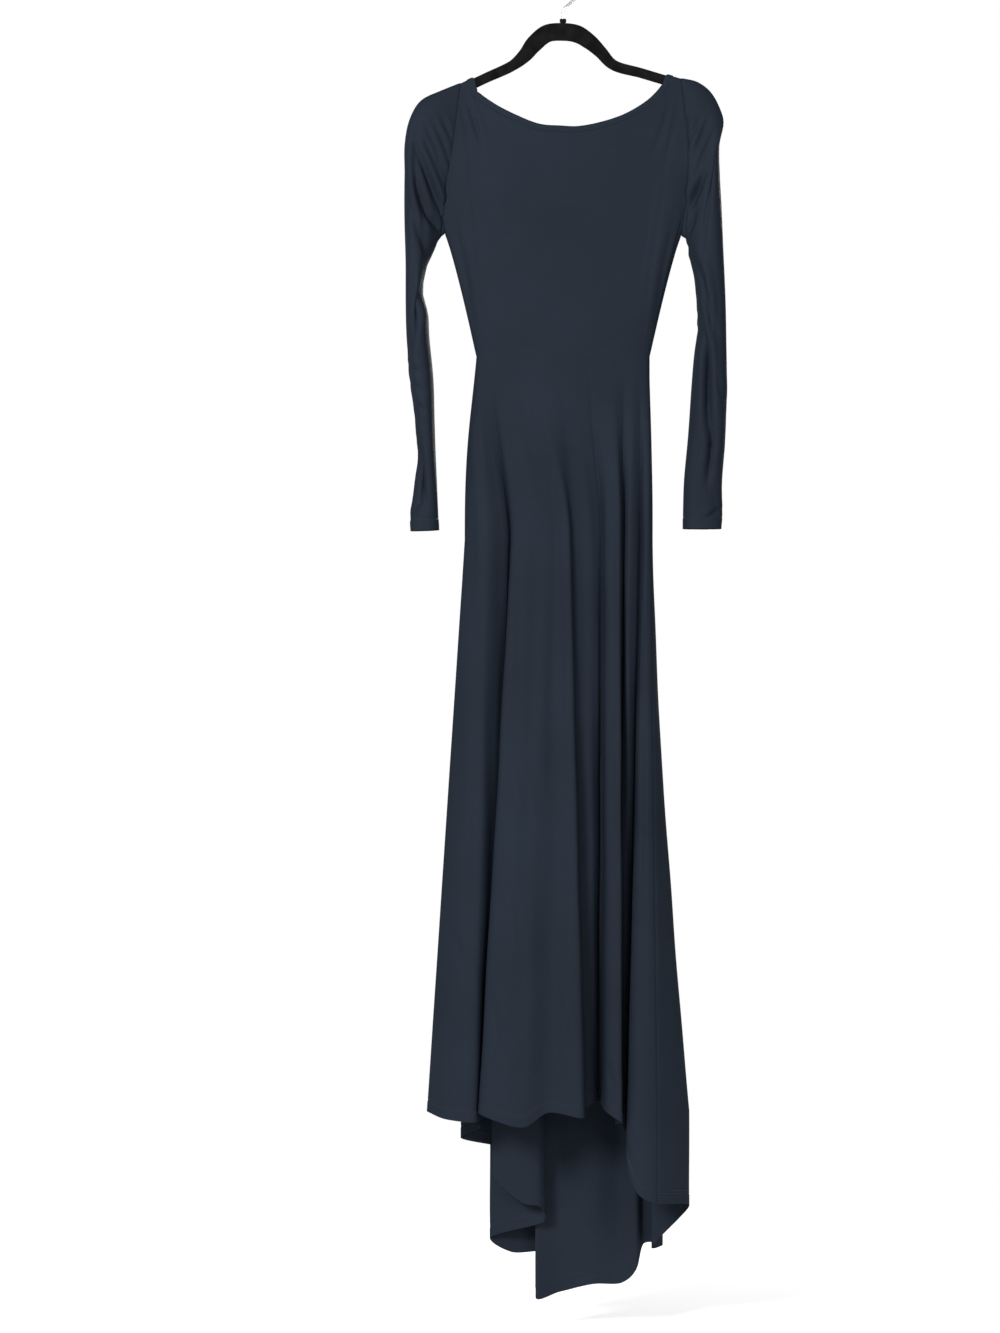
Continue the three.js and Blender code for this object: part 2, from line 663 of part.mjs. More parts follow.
// Section of the hanger: flat sides with half-round edges
function hangerRing(middle, tangent, height) {
  const up = point(-tangent.z, 0, tangent.x);
  const radius = HANGER_THICK / 2;
  return range(0, HANGER_SIDES - 1).map((i) => {
    const angle = (2 * Math.PI * (i + 0.5)) / HANGER_SIDES;
    const straight = Math.sign(Math.sin(angle)) * (height / 2 - radius);
    const p = middle.clone().addScaledVector(up, straight + radius * Math.sin(angle));
    return p.setY(radius * Math.cos(angle));
  });
}

// Collar where the hook enters the hump
function collarGeometry() {
  const bottom = HUMP_TOP_Z + SEAM_GAP;
  const profile = table(['r', 'z'], [
    [0, bottom],
    [COLLAR_RADIUS, bottom],
    [COLLAR_RADIUS, COLLAR_TOP_Z - COLLAR_CHAMFER],
    [COLLAR_RADIUS - COLLAR_CHAMFER, COLLAR_TOP_Z],
    [0, COLLAR_TOP_Z],
  ]);
  const sides = 16;
  const geometry = new THREE.LatheGeometry(profile.map((row) => new THREE.Vector2(row.r, row.z)), sides);
  return geometry.rotateX(Math.PI / 2);
}

// Hook: a round wire over the rail, turning back to the middle and down to the collar
function hookGeometry() {
  const radius = HOOK_INNER_RADIUS + HOOK_WIRE / 2;
  const bowSteps = 13;
  const degrees = range(0, bowSteps).map((i) => mix(HOOK_TIP_ANGLE, HOOK_LAST_ANGLE, i / bowSteps));
  const turns = degrees.map(THREE.MathUtils.degToRad);
  const bow = turns.map((a) => point(radius * Math.cos(a), 0, radius * Math.sin(a) - HOOK_INNER_RADIUS));
  const shank = HOOK_SHANK.map((row) => point(row.x, 0, row.z));
  const curve = new THREE.CatmullRomCurve3([...bow, ...shank], false, 'centripetal');
  const steps = 40;
  const sides = 8;
  const rings = range(0, steps).map((step) => {
    const middle = curve.getPoint(step / steps);
    const tangent = step === steps ? point(0, 0, -1) : curve.getTangent(step / steps);
    const up = point(-tangent.z, 0, tangent.x);
    return range(0, sides - 1).map((i) => {
      const angle = (2 * Math.PI * i) / sides;
      const p = middle.clone().addScaledVector(up, (HOOK_WIRE / 2) * Math.sin(angle));
      return p.setY((HOOK_WIRE / 2) * Math.cos(angle));
    });
  });
  return barGeometry(rings);
}

const frontSeams = SHOULDER_SEAMS.flatMap(([front]) => front);
const backSeams = SHOULDER_SEAMS.flatMap(([, back]) => back);
const dress = new THREE.Group();
dress.add(
  named('front_panel', panelWall(range(0, FRONT_COLUMNS), frontSeams), jersey()),
  named('back_panel', panelWall(range(FRONT_COLUMNS, BODY_COLUMNS), backSeams), jersey()),
  named('sleeve_left', wallGeometry(sleeves.left.grid, sleeves.left.normals, CLOTH, true), jersey()),
  named('sleeve_right', wallGeometry(sleeves.right.grid, sleeves.right.normals, CLOTH, true), jersey()),
  named('neck_binding', bindingGeometry(), jersey()),
);
const hanger = new THREE.Group();
hanger.add(
  named('hanger_body', hangerGeometry(), flock()),
  named('hook_collar', collarGeometry(), flock()),
  named('hanger_hook', hookGeometry(), plated()),
);
const part = new THREE.Group();
part.add(dress, hanger);

export default part;
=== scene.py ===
# A long-sleeved jersey maxi dress with a high-low hem, hung on a slim flocked hanger.
# Tables are in millimetres and meshes in metres: +Z up, the front looks along -Y,
# and the origin is the inside of the hook's crown.
import math

import bpy
import numpy as np
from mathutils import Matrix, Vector


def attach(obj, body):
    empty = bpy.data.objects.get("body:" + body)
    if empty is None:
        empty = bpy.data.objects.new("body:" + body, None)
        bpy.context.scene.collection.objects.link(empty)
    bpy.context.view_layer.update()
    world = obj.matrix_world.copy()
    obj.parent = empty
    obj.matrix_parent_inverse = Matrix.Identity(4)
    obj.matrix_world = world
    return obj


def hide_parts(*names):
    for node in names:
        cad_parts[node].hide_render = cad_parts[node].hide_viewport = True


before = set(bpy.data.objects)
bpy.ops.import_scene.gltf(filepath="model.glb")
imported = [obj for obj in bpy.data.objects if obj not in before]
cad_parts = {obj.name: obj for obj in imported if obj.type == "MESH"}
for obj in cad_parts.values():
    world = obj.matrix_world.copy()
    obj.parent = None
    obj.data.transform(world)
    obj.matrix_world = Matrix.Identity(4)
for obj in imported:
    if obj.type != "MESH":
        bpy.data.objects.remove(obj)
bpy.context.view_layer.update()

MM = 0.001

# Cloth and sewing
CLOTH = 0.9
SEAM_GAP = 0.3

# Levels of the body, down from the hook's crown
WAIST_Z = -535
HIP_Z = -791
HEM_Z = -1590

# Flatness of the bodice's section, hollow of its sides, and slope below the hanger's arms
BODICE_ROUNDNESS = 2.6
SIDE_HOLLOW = 0.85
BODICE_SPREAD = 0.13

# Slim hanger: the arms' top edges run from the foot of the hump to the tips
HANGER_THICK = 5
ARM_HEIGHT = 14
ARM_FOOT_X = 70
ARM_FOOT_Z = -118.6
ARM_SLOPES = {"left": 0.48, "right": 0.3}
ARM_TIPS = {"left": -188, "right": 184}
ARM_SPOTS = (150, 110)

# The cloth lies this far over an arm's top edge, and rounds over it this widely
ARM_LIFT = 1.2
ARM_ROUND_WIDTH = 4.2
ARM_ROUND_DROP = 3.7

# Hook and collar
HOOK_INNER_RADIUS = 20
HOOK_WIRE = 3.5
HOOK_TIP_ANGLE = 205
HOOK_LAST_ANGLE = -55
HOOK_SHANK = ((2.5, -46.5), (0, -53), (0, -61.7))
COLLAR_TOP_Z = -62
COLLAR_BOTTOM_Z = -67.3
COLLAR_RADIUS = 4.6


def table(columns, rows):
    """Named columns of numbers from rows."""
    values = np.array(rows, float)
    return {name: values[:, i] for i, name in enumerate(columns)}


# Half depth of the bodice, where the arms no longer set it, and its side lines
BODICE = table(("z", "depth", "left", "right"), [
    (-215, 15, -120, 120),
    (-300, 20, -120, 120),
    (-362, 23, -120, 120),
    (WAIST_Z, 21, -120.4, 120.4),
    (-567, 21, -123, 120.4),
    (-651, 22, -129, 122),
    (-735, 23, -134, 123.5),
    (HIP_Z, 24, -137, 124.6),
])
WAIST_SIDES = (-120.4, 120.4)

# Armhole seam of the front and back, from the underarm up: across and level
ARMHOLES = {
    "left": [(-165.2, -361.6), (-168.5, -334), (-162.5, -285), (-153, -231), (-146.5, -180)],
    "right": [(165.2, -364.4), (168.5, -343), (175, -301), (175, -231), (169, -180)],
}

# Where the shoulder seam starts at the neck and ends at the armhole
NECK_POINTS = {"left": -133, "right": 152.5}
SHOULDER_POINTS = {"left": -142, "right": 164}
NECK_LEAN = 3.7
ARMHOLE_LEAN = 1.6

# Neck edge of each panel, below the band, from the left shoulder to the right one
NECKS = {
    "front": [
        (-125.5, -168), (-108.5, -181), (-84, -196), (-36, -216.5), (-4, -219.5), (24, -220),
        (80, -206), (119, -184), (136.5, -167.5), (146, -155),
    ],
    "back": [
        (-125.5, -171), (-108.5, -192), (-84, -214), (-36, -240), (-4, -245), (24, -245.5),
        (80, -228), (119, -200), (136.5, -176), (146, -158),
    ],
}

# Fold lines of the skirt round the body, one row each: across and depth at the hip and the hem
FOLD_COLUMNS = ("x_hip", "x_hem", "y_hip", "y_hem", "z_hem")
FRONT_FOLDS = [
    (-137, -189, 0, -5, -1591),
    (-122, -165, -16, -38, -1598),
    (-106, -124, -22, -48, -1602),
    (-85, -113, -14, -22, -1599),
    (-73, -101, -8, -10, -1595),
    (-71, -118, -20, -48, -1589),
    (-52, -91, -27, -66, -1599),
    (-25, -55, -28, -70, -1606),
    (-4, -21, -27, -60, -1587),
    (8, 26, -26, -66, -1594),
    (14, 31, -16, -34, -1584),
    (38, 43, -12, -24, -1576),
    (54, 51, -8, -9, -1576),
    (61, 60, -18, -52, -1587),
    (78, 80, -22, -58, -1601),
    (84, 74, -8, -14, -1608),
    (92, 86, -16, -14, -1617),
    (109, 91, -8, -10, -1631),
    (113, 89, -16, -45, -1664),
    (118, 104, -18, -57, -1701),
    (122, 130, -13, -52, -1714),
]
BACK_FOLDS = [
    (124.6, 176, 0, -8, -1721),
    (116, 161, 18, 22, -1746),
    (108, 125, 22, 28, -1785),
    (99, 141, 28, 52, -1785),
    (91, 115, 28, 62, -1785),
    (80, 104, 22, 49, -1820),
    (60, 83, 26, 58, -1840),
    (31, 43, 23, 54, -1841),
    (-4, -4, 28, 62, -1853),
    (-32, -38, 24, 56, -1860),
    (-46, -10, 28, 84, -1802),
    (-60, -71, 28, 76, -1799),
    (-74, -102, 26, 64, -1777),
    (-84, -25, 20, 40, -1750),
    (-92, -31, 20, 26, -1728),
    (-102, -60, 22, 22, -1720),
    (-111, -99, 22, 28, -1679),
    (-118, -74, 20, 46, -1652),
    (-125, -143, 17, 42, -1633),
    (-130, -116, 12, 24, -1615),
]
FOLDS = table(FOLD_COLUMNS, FRONT_FOLDS + BACK_FOLDS)
FOLD_COUNT = len(FOLDS["z_hem"])

# How the fold lines move across and open between hip and hem: 1 is even, more is later
IS_BACK_FOLD = np.arange(FOLD_COUNT) >= len(FRONT_FOLDS)
FOLD_DRIFT = np.where(IS_BACK_FOLD, 1.4, 1.0)
FOLD_OPENING = np.where(IS_BACK_FOLD, 0.8, 1.0)

# Places round the body: two for each fold line, from the left side seam over the front
FRONT_COLUMNS = 2 * (len(FRONT_FOLDS) - 1)
BODY_COLUMNS = 2 * FOLD_COUNT
BACK_COLUMNS = BODY_COLUMNS - FRONT_COLUMNS
ARMHOLE_COLUMNS = 8
SHOULDER_COLUMNS = 2
CLIMB_COLUMNS = 3
NECK_START = ARMHOLE_COLUMNS + SHOULDER_COLUMNS

# Fineness of the body's cloth: points for each place round, and rows down
FINE = 5
SEAM_PLACES = (0.05, 0.11, 0.18)
FIRST_DROPS = np.array([0, 0.4, 1.2, 2.4, 4, 6.5, 11])
UNDERARM_STRETCH = 3.5
BODICE_ROWS = 58
HIP_ROWS = 26
SKIRT_ROWS = 84
HEM_HEIGHTS = np.array([24, 20.5, 18.5, 17.2, 16, 14.8, 13.6, 12.4, 10, 6, 3, 1.2, 0])

# Sleeve sections: the overarm line, the underarm line and the half depth
SLEEVE_COLUMNS = ("outer_x", "outer_z", "inner_x", "inner_z", "depth")
SLEEVES = {
    "left": table(SLEEVE_COLUMNS, [
        (-172, -163.5, -171, -366, 17),
        (-199, -177.5, -173.5, -370, 20),
        (-214, -203, -176.5, -376, 24),
        (-221, -238, -180.5, -384, 28),
        (-221, -280, -185, -395, 32),
        (-221, -336, -190.5, -411, 36),
        (-220, -399, -194.5, -430, 39),
        (-220, -455, -193, -462, 40),
        (-218.5, -511, -187.5, -514, 38),
        (-214, -567, -182, -570, 36),
        (-207, -623, -180.5, -623, 33),
        (-204.5, -672, -179, -672, 30),
        (-208.5, -721, -176.5, -721, 27),
        (-213, -756, -174.5, -756, 24),
        (-213, -779, -173.5, -777.5, 23),
    ]),
    "right": table(SLEEVE_COLUMNS, [
        (187.5, -150.5, 172, -369, 17),
        (206, -164.5, 173.5, -376, 20),
        (218.5, -186.5, 175, -384, 23),
        (224, -206, 176.5, -394, 26),
        (218.5, -238, 179, -408, 29),
        (218.5, -280, 182, -423, 32),
        (221, -329, 185, -441, 34),
        (224, -385, 187.5, -460, 35),
        (227, -455, 188.5, -478, 34),
        (227.5, -518, 185, -525, 32),
        (228, -581, 180, -584, 31),
        (225.5, -651, 175, -651, 29),
        (222, -714, 169.5, -710, 26),
        (222.5, -756, 168, -754, 23),
        (221, -776, 168, -776, 22),
    ]),
}
SLEEVE_BOXINESS = 0.8
OVERARM_ANGLES = (0, 8, 20)
SLEEVE_FINE = 10
SLEEVE_FINE_ROWS = 14
CUFF_HEM = 16

# Large creases of the sleeves: middle section, place round, drift, reach, width and depth
SLEEVE_HOLLOWS = {
    "left": [(4, 4.5, 0.9, 1.4, 0.8, 5), (8, 4, -0.6, 1.3, 0.9, 4), (12, 4.5, 0.3, 1.2, 0.9, 4)],
    "right": [(5, 12, -0.8, 1.3, 0.8, 4), (10, 12, 0.2, 1.7, 0.9, 6), (14, 13, 0.4, 0.8, 0.9, 3)],
}

# Creases seen from the front: the places they pass, width, depth, and the lip on their right
LEFT_SLEEVE_CREASES = [
    ([(-172, -198), (-150, -243)], 3.4, 2.6, 0.5),
    ([(-182, -206), (-168, -238), (-155, -272)], 3.6, 3.2, 0.5),
    ([(-192, -213), (-176, -250), (-161, -292)], 3.6, 3.4, 0.5),
    ([(-196, -229), (-180, -264), (-165, -304)], 3.8, 3.2, 0.5),
    ([(-206, -241), (-192, -276), (-178, -313), (-162, -349)], 4.6, 7.5, 0.5),
    ([(-203, -294), (-188, -341), (-172, -360)], 4.6, 7, -0.5),
    ([(-212, -330), (-199, -372), (-187, -398)], 5, 3, 0.5),
    ([(-194, -432), (-208, -490), (-214, -524)], 5, 7, 0.5),
    ([(-216, -548), (-199, -560)], 3.6, 2.6, 0.5),
    ([(-211, -572), (-192, -590)], 3.6, 2.4, 0.5),
    ([(-207, -600), (-190, -616)], 3.6, 2.2, 0.5),
    ([(-203, -650), (-198, -700), (-193, -748)], 4.6, 7, 0.5),
    ([(-213, -763), (-195, -742)], 3.4, 2.6, 0.5),
]
RIGHT_SLEEVE_CREASES = [
    ([(192, -199), (175, -236)], 3.6, 2.6, -0.5),
    ([(203, -205), (190, -236), (178, -268)], 3.6, 3, -0.5),
    ([(211, -222), (195, -256), (179, -298)], 4, 3, -0.5),
    ([(199, -274), (187, -304), (174, -334)], 4.6, 7.5, -0.5),
    ([(184, -330), (180, -348), (174, -368)], 3.8, 4, 0.5),
    ([(175, -383), (192, -426), (209, -507)], 4.6, 5, 0.5),
    ([(190, -480), (199, -537), (202, -607), (206, -660)], 6.4, 12, 0.4),
    ([(211, -632), (206, -676), (201, -714)], 5, 7, -0.4),
    ([(195, -764), (221, -749)], 3.4, 2.8, 0.5),
    ([(214, -560), (222, -600)], 4, 1.8, 0.5),
]
FRONT_CREASES = [
    ([(-136, -172), (-128, -198), (-115, -238)], 3.4, 1.4, 0.6),
    ([(-142, -186), (-137, -212), (-130, -236)], 3.4, 1.2, 0.6),
    ([(-130, -180), (-122, -208), (-112, -246)], 3.4, 0.9, 0.5),
    ([(-88, -204), (-74, -226)], 4, 0.6, 0.5),
    ([(-156, -336), (-140, -400), (-124, -498)], 5, 1.6, 0.6),
    ([(157, -334), (142, -402), (126, -498)], 5, 1.3, -0.6),
    ([(148, -180), (140, -214), (126, -250)], 4, 1, -0.5),
    ([(160, -190), (150, -236), (134, -290)], 4.5, 0.9, -0.5),
    ([(-120, -330), (-80, -356), (-30, -366)], 10, 0.7, 0.4),
    ([(124, -330), (88, -360), (40, -370)], 10, 0.7, 0.4),
    ([(-110, -505), (-60, -522), (-10, -520)], 8, 0.6, 0.5),
    ([(104, -498), (66, -520), (20, -524)], 8, 0.6, 0.5),
    ([(-62, -1106), (-45, -1188)], 4, 0.9, 0.5),
    ([(-74, -1246), (-64, -1316), (-53, -1386)], 4, 1.2, 0.5),
    ([(-13, -1141), (4, -1200), (17, -1258)], 4.4, 1.2, 0.5),
    ([(-21, -1375), (-4, -1438), (11, -1521)], 4.4, 2.6, 0.5),
    ([(-10, -1491), (8, -1543)], 4, 2, 0.5),
    ([(-85, -1456), (-71, -1515)], 4, 1.4, 0.5),
    ([(-102, -1416), (-83, -1515)], 4, 1.4, 0.5),
    ([(-158, -1328), (-134, -1392)], 4, 1.1, 0.5),
    ([(-153, -1333), (-135, -1390), (-121, -1445)], 4, 1, 0.5),
    ([(57, -1508), (76, -1572)], 4, 1.5, 0.5),
]

# Fine long folds between the skirt's fold lines: place round, width, upper and lower level, depth
LONG_FOLDS = [
    (3.3, 0.5, -640, -1480, 1.1),
    (8, 0.4, -560, -1640, 4.5),
    (11.2, 0.5, -600, -1380, 1),
    (13.2, 0.55, -700, -1540, 1.2),
    (15.3, 0.5, -580, -1250, 0.9),
    (17.2, 0.5, -820, -1560, 1.1),
    (21.2, 0.45, -640, -1450, 1),
    (24, 0.4, -560, -1640, 5),
    (27.4, 0.45, -700, -1500, 1),
    (30, 0.4, -560, -1640, 4.5),
    (34, 0.4, -580, -1680, 4.5),
    (38.3, 0.45, -760, -1620, 1),
    (44.6, 0.5, -680, -1600, 1.2),
    (49.2, 0.5, -620, -1700, 1.3),
    (53.1, 0.55, -760, -1760, 1.3),
    (55.2, 0.5, -580, -1500, 1.1),
    (57.3, 0.5, -680, -1780, 1.3),
    (61.1, 0.5, -720, -1680, 1.2),
    (65.2, 0.5, -640, -1600, 1.2),
    (71.3, 0.5, -760, -1640, 1.1),
    (77.2, 0.5, -640, -1560, 1.2),
]

# Middle line of the hanger's hump, and its height square to that line
HUMP = [
    (-70, -126.8, 15),
    (-53, -112.5, 20),
    (-40.5, -97, 24),
    (-22.5, -82.5, 25),
    (-1.5, -80.1, 25),
    (19.5, -83, 25),
    (37.5, -94.2, 22),
    (52, -107.5, 18),
    (70, -126, 15),
]


# Smooth lines

def mix(a, b, share):
    return a + (b - a) * share


def smooth(t):
    t = np.clip(t, 0, 1)
    return t * t * (3 - 2 * t)


def unit(vectors):
    return vectors / np.maximum(np.linalg.norm(vectors, axis=-1, keepdims=True), 1e-9)


def catmull(p0, p1, p2, p3, t):
    """Centripetal curve from p1 to p2, leaving and arriving in line with p0 and p3."""
    gaps = [np.linalg.norm(b - a, axis=-1, keepdims=True) for a, b in ((p0, p1), (p1, p2), (p2, p3))]
    d0, d1, d2 = (np.sqrt(np.maximum(gap, 1e-6)) for gap in gaps)
    leave = ((p1 - p0) / d0 - (p2 - p0) / (d0 + d1) + (p2 - p1) / d1) * d1
    arrive = ((p2 - p1) / d1 - (p3 - p1) / (d1 + d2) + (p3 - p2) / d2) * d1
    square = 3 * (p2 - p1) - 2 * leave - arrive
    cube = 2 * (p1 - p2) + leave + arrive
    return p1 + t * (leave + t * (square + t * cube))


def spline(points, places):
    """Open smooth line through points, at places counted in points."""
    points = np.asarray(points, float)
    first = 2 * points[0] - points[1]
    last = 2 * points[-1] - points[-2]
    padded = np.concatenate([first[None], points, last[None]])
    places = np.asarray(places, float)
    start = np.clip(np.floor(places).astype(int), 0, len(points) - 2)
    t = (places - start).reshape((-1,) + (1,) * (points.ndim - 1))
    return catmull(padded[start], padded[start + 1], padded[start + 2], padded[start + 3], t)


def lengths(points):
    """Length along a line of points, up to each of them."""
    steps = np.linalg.norm(np.diff(points, axis=0), axis=-1)
    return np.concatenate([[0], np.cumsum(steps)])


def even_points(points, count):
    """Points along a smooth line, evenly spaced."""
    fine = spline(points, np.linspace(0, len(points) - 1, 400))
    reach = lengths(fine)
    wanted = np.linspace(0, reach[-1], count)
    return np.column_stack([np.interp(wanted, reach, fine[:, axis]) for axis in (0, 1)])


# Form of the body

def side_of(x):
    return "left" if x < 0 else "right"


def arm_top(x):
    slope = np.where(x < 0, ARM_SLOPES["left"], ARM_SLOPES["right"])
    return ARM_FOOT_Z - slope * (np.abs(x) - ARM_FOOT_X)


def shoulder_top(x):
    return arm_top(x) + ARM_LIFT


def bodice_at(column, z):
    return np.interp(-z, -BODICE["z"], BODICE[column])


def bodice_depth(x, z, across):
    """Half depth of the bodice at a place on its front or back."""
    drop = np.maximum(0, shoulder_top(x) - z)
    turned = 1 - np.minimum(drop, ARM_ROUND_DROP) / ARM_ROUND_DROP
    hung = ARM_ROUND_WIDTH * np.sqrt(1 - turned ** 2) + BODICE_SPREAD * np.maximum(0, drop - ARM_ROUND_DROP)
    flank = (1 - np.minimum(1, np.abs(across)) ** BODICE_ROUNDNESS) ** (1 / BODICE_ROUNDNESS)
    return np.minimum(hung, bodice_at("depth", z)) * flank


def climb(x, lean):
    """Where an edge climbs over an arm to a place on it, lowest point first."""
    left_to_climb = np.linspace(1, 0, 13)
    place = x + left_to_climb * lean
    return np.column_stack([place, shoulder_top(place) - ARM_ROUND_DROP * left_to_climb ** 1.75])


def shoulder_line(start, end):
    x = np.linspace(start, end, 5)
    return np.column_stack([x, shoulder_top(x)])


def top_edge(neck, columns, places):
    """Top edge of a panel at places counted in columns, from the left underarm to the right one."""
    armhole_end = ARMHOLE_COLUMNS - CLIMB_COLUMNS
    climb_start = armhole_end + 1
    neck_climb_end = NECK_START + CLIMB_COLUMNS - 1
    neck_first = NECK_START + CLIMB_COLUMNS
    runs = [
        (0, armhole_end, even_points(ARMHOLES["left"], 60)),
        (climb_start, ARMHOLE_COLUMNS, climb(SHOULDER_POINTS["left"], -ARMHOLE_LEAN)),
        (ARMHOLE_COLUMNS, NECK_START, shoulder_line(SHOULDER_POINTS["left"], NECK_POINTS["left"])),
        (NECK_START, neck_climb_end, climb(NECK_POINTS["left"], NECK_LEAN)[::-1]),
        (neck_first, columns - neck_first, even_points(neck, 200)),
        (columns - neck_climb_end, columns - NECK_START, climb(NECK_POINTS["right"], -NECK_LEAN)),
        (columns - NECK_START, columns - ARMHOLE_COLUMNS,
         shoulder_line(NECK_POINTS["right"], SHOULDER_POINTS["right"])),
        (columns - ARMHOLE_COLUMNS, columns - climb_start,
         climb(SHOULDER_POINTS["right"], ARMHOLE_LEAN)[::-1]),
        (columns - armhole_end, columns, even_points(ARMHOLES["right"], 60)[::-1]),
    ]
    run_places = np.concatenate([np.linspace(start, end, len(line)) for start, end, line in runs])
    run_points = np.concatenate([line for _, _, line in runs])
    return tuple(np.interp(places, run_places, run_points[:, axis]) for axis in (0, 1))


def start_across(top_x, columns):
    """How far across the section each whole column starts: 1 at the side seams, less inwards."""
    column = np.arange(columns + 1)
    from_seam = np.minimum(column, columns - column)
    seam_side = np.where(column * 2 < columns, -1, 1)
    opened = np.minimum(1, from_seam / (ARMHOLE_COLUMNS - CLIMB_COLUMNS))
    beside_armhole = seam_side * mix(1, 0.55, opened ** 1.5)
    below_neck = 0.55 * top_x / abs(SHOULDER_POINTS["left"])
    return np.where(from_seam > ARMHOLE_COLUMNS, below_neck, beside_armhole)


def fold_line(index, share):
    """Place of a fold line at a share of the way from hip to hem."""
    index = index % FOLD_COUNT
    across = share ** FOLD_DRIFT[index]
    opened = share ** FOLD_OPENING[index]
    x = mix(FOLDS["x_hip"][index], FOLDS["x_hem"][index], across)
    y = mix(FOLDS["y_hip"][index], FOLDS["y_hem"][index], opened)
    return np.stack([x, y], axis=-1)


def folded(body_places, z):
    """Smooth closed line through the fold lines, at places round the body."""
    share = np.clip((HIP_Z - z) / (HIP_Z - HEM_Z), 0, 1)
    before = np.floor(body_places / 2).astype(int)
    t = (body_places / 2 - before)[..., None]
    around = [fold_line(before + step, share) for step in (-1, 0, 1, 2)]
    return catmull(*around, t)


def hem_level(body_places):
    """Level of the hem, in smooth scallops from fold line to fold line."""
    before = np.floor(body_places / 2).astype(int)
    t = body_places / 2 - before
    z0, z1, z2, z3 = (FOLDS["z_hem"][(before + step) % FOLD_COUNT] for step in (-1, 0, 1, 2))
    leave, arrive = (z2 - z0) / 2, (z3 - z1) / 2
    square = 3 * (z2 - z1) - 2 * leave - arrive
    cube = 2 * (z1 - z2) + leave + arrive
    return z1 + t * (leave + t * (square + t * cube))


def bodice_rows(neck, columns, face, places):
    """The panel from its top edge to the waist: points, and drops below the edge."""
    top_x, top_z = top_edge(neck, columns, places)
    whole = np.arange(columns + 1)
    across_start = np.interp(places, whole, start_across(top_edge(neck, columns, whole)[0], columns))
    across_waist = -np.cos(math.pi * places / columns)
    waist_x = mix(*WAIST_SIDES, (across_waist + 1) / 2)
    from_seam = np.minimum(places, columns - places)
    armhole_end = ARMHOLE_COLUMNS - CLIMB_COLUMNS
    stretch = np.interp(from_seam, [armhole_end, armhole_end + 1], [UNDERARM_STRETCH, 1])
    first = FIRST_DROPS * stretch[:, None]
    height = (top_z - WAIST_Z)[:, None]
    even = mix(first[:, -1:], height, np.arange(1, BODICE_ROWS + 1) / BODICE_ROWS)
    drops = np.concatenate([first, even], axis=1)
    share = drops / height
    z = top_z[:, None] - drops
    x = mix(top_x[:, None], waist_x[:, None], share ** SIDE_HOLLOW)
    y = face * bodice_depth(x, z, mix(across_start[:, None], across_waist[:, None], share))
    return np.stack([x, y, z], axis=-1), drops


def skirt_rows(columns, face, places, body_places):
    """The panel from below the waist to its hem: points, and heights above the hem."""
    hem = hem_level(body_places)[:, None]
    to_hip = mix(WAIST_Z, HIP_Z, np.arange(1, HIP_ROWS + 1) / HIP_ROWS)
    to_hip = np.repeat(to_hip[None], len(places), axis=0)
    to_hem = mix(HIP_Z, hem + HEM_HEIGHTS[0], np.arange(1, SKIRT_ROWS) / SKIRT_ROWS)
    z = np.concatenate([to_hip, to_hem, hem + HEM_HEIGHTS], axis=1)
    across = (-np.cos(math.pi * places / columns))[:, None]
    x = mix(bodice_at("left", z), bodice_at("right", z), (across + 1) / 2)
    y = face * bodice_depth(x, z, np.repeat(across, z.shape[1], axis=1))
    turned = smooth((WAIST_Z - z) / (WAIST_Z - HIP_Z))
    fold = folded(np.repeat(body_places[:, None], z.shape[1], axis=1), z)
    points = np.stack([mix(x, fold[..., 0], turned), mix(y, fold[..., 1], turned), z], axis=-1)
    return points, z - hem


def panel_places(columns):
    """Places across a panel, closer together at its seams."""
    even = np.linspace(0, columns, columns * FINE + 1)
    near_seams = [place for near in SEAM_PLACES for place in (near, columns - near)]
    return np.unique(np.concatenate([even, near_seams]))


def panel_grid(neck, columns, face, is_front):
    places = panel_places(columns)
    body_places = places if is_front else BODY_COLUMNS - places
    bodice, drops = bodice_rows(neck, columns, face, places)
    skirt, heights = skirt_rows(columns, face, places, body_places)
    below = np.full((len(places), skirt.shape[1]), 1e4)
    above = np.full((len(places), bodice.shape[1]), 1e4)
    return {
        "points": np.concatenate([bodice, skirt], axis=1),
        "places": body_places % BODY_COLUMNS,
        "drops": np.concatenate([drops, below], axis=1),
        "heights": np.concatenate([above, heights], axis=1),
    }


def joined_body():
    """Both panels on one grid round the body: the front's columns, then the back's."""
    front = panel_grid(NECKS["front"], FRONT_COLUMNS, -1, True)
    back = panel_grid(NECKS["back"], BACK_COLUMNS, 1, False)
    return {key: np.concatenate([front[key], back[key][::-1][1:-1]]) for key in front}, len(front["places"])


def grid_normals(points):
    """Outward normals of a grid that closes round, with rows running down."""
    around = np.roll(points, -1, axis=0) - np.roll(points, 1, axis=0)
    down = np.gradient(points, axis=1)
    return unit(np.cross(down, around))


def depth_normals(points, face):
    """Normals of the bodice from its depth beside each point, for edges that climb the arms."""
    x, z = points[..., 0], points[..., 2]
    reach = 0.2
    slope_x = bodice_depth(x + reach, z, 0.0) - bodice_depth(x - reach, z, 0.0)
    slope_z = bodice_depth(x, z + reach, 0.0) - bodice_depth(x, z - reach, 0.0)
    return unit(np.stack([-slope_x, face * 2 * reach, -slope_z], axis=-1))


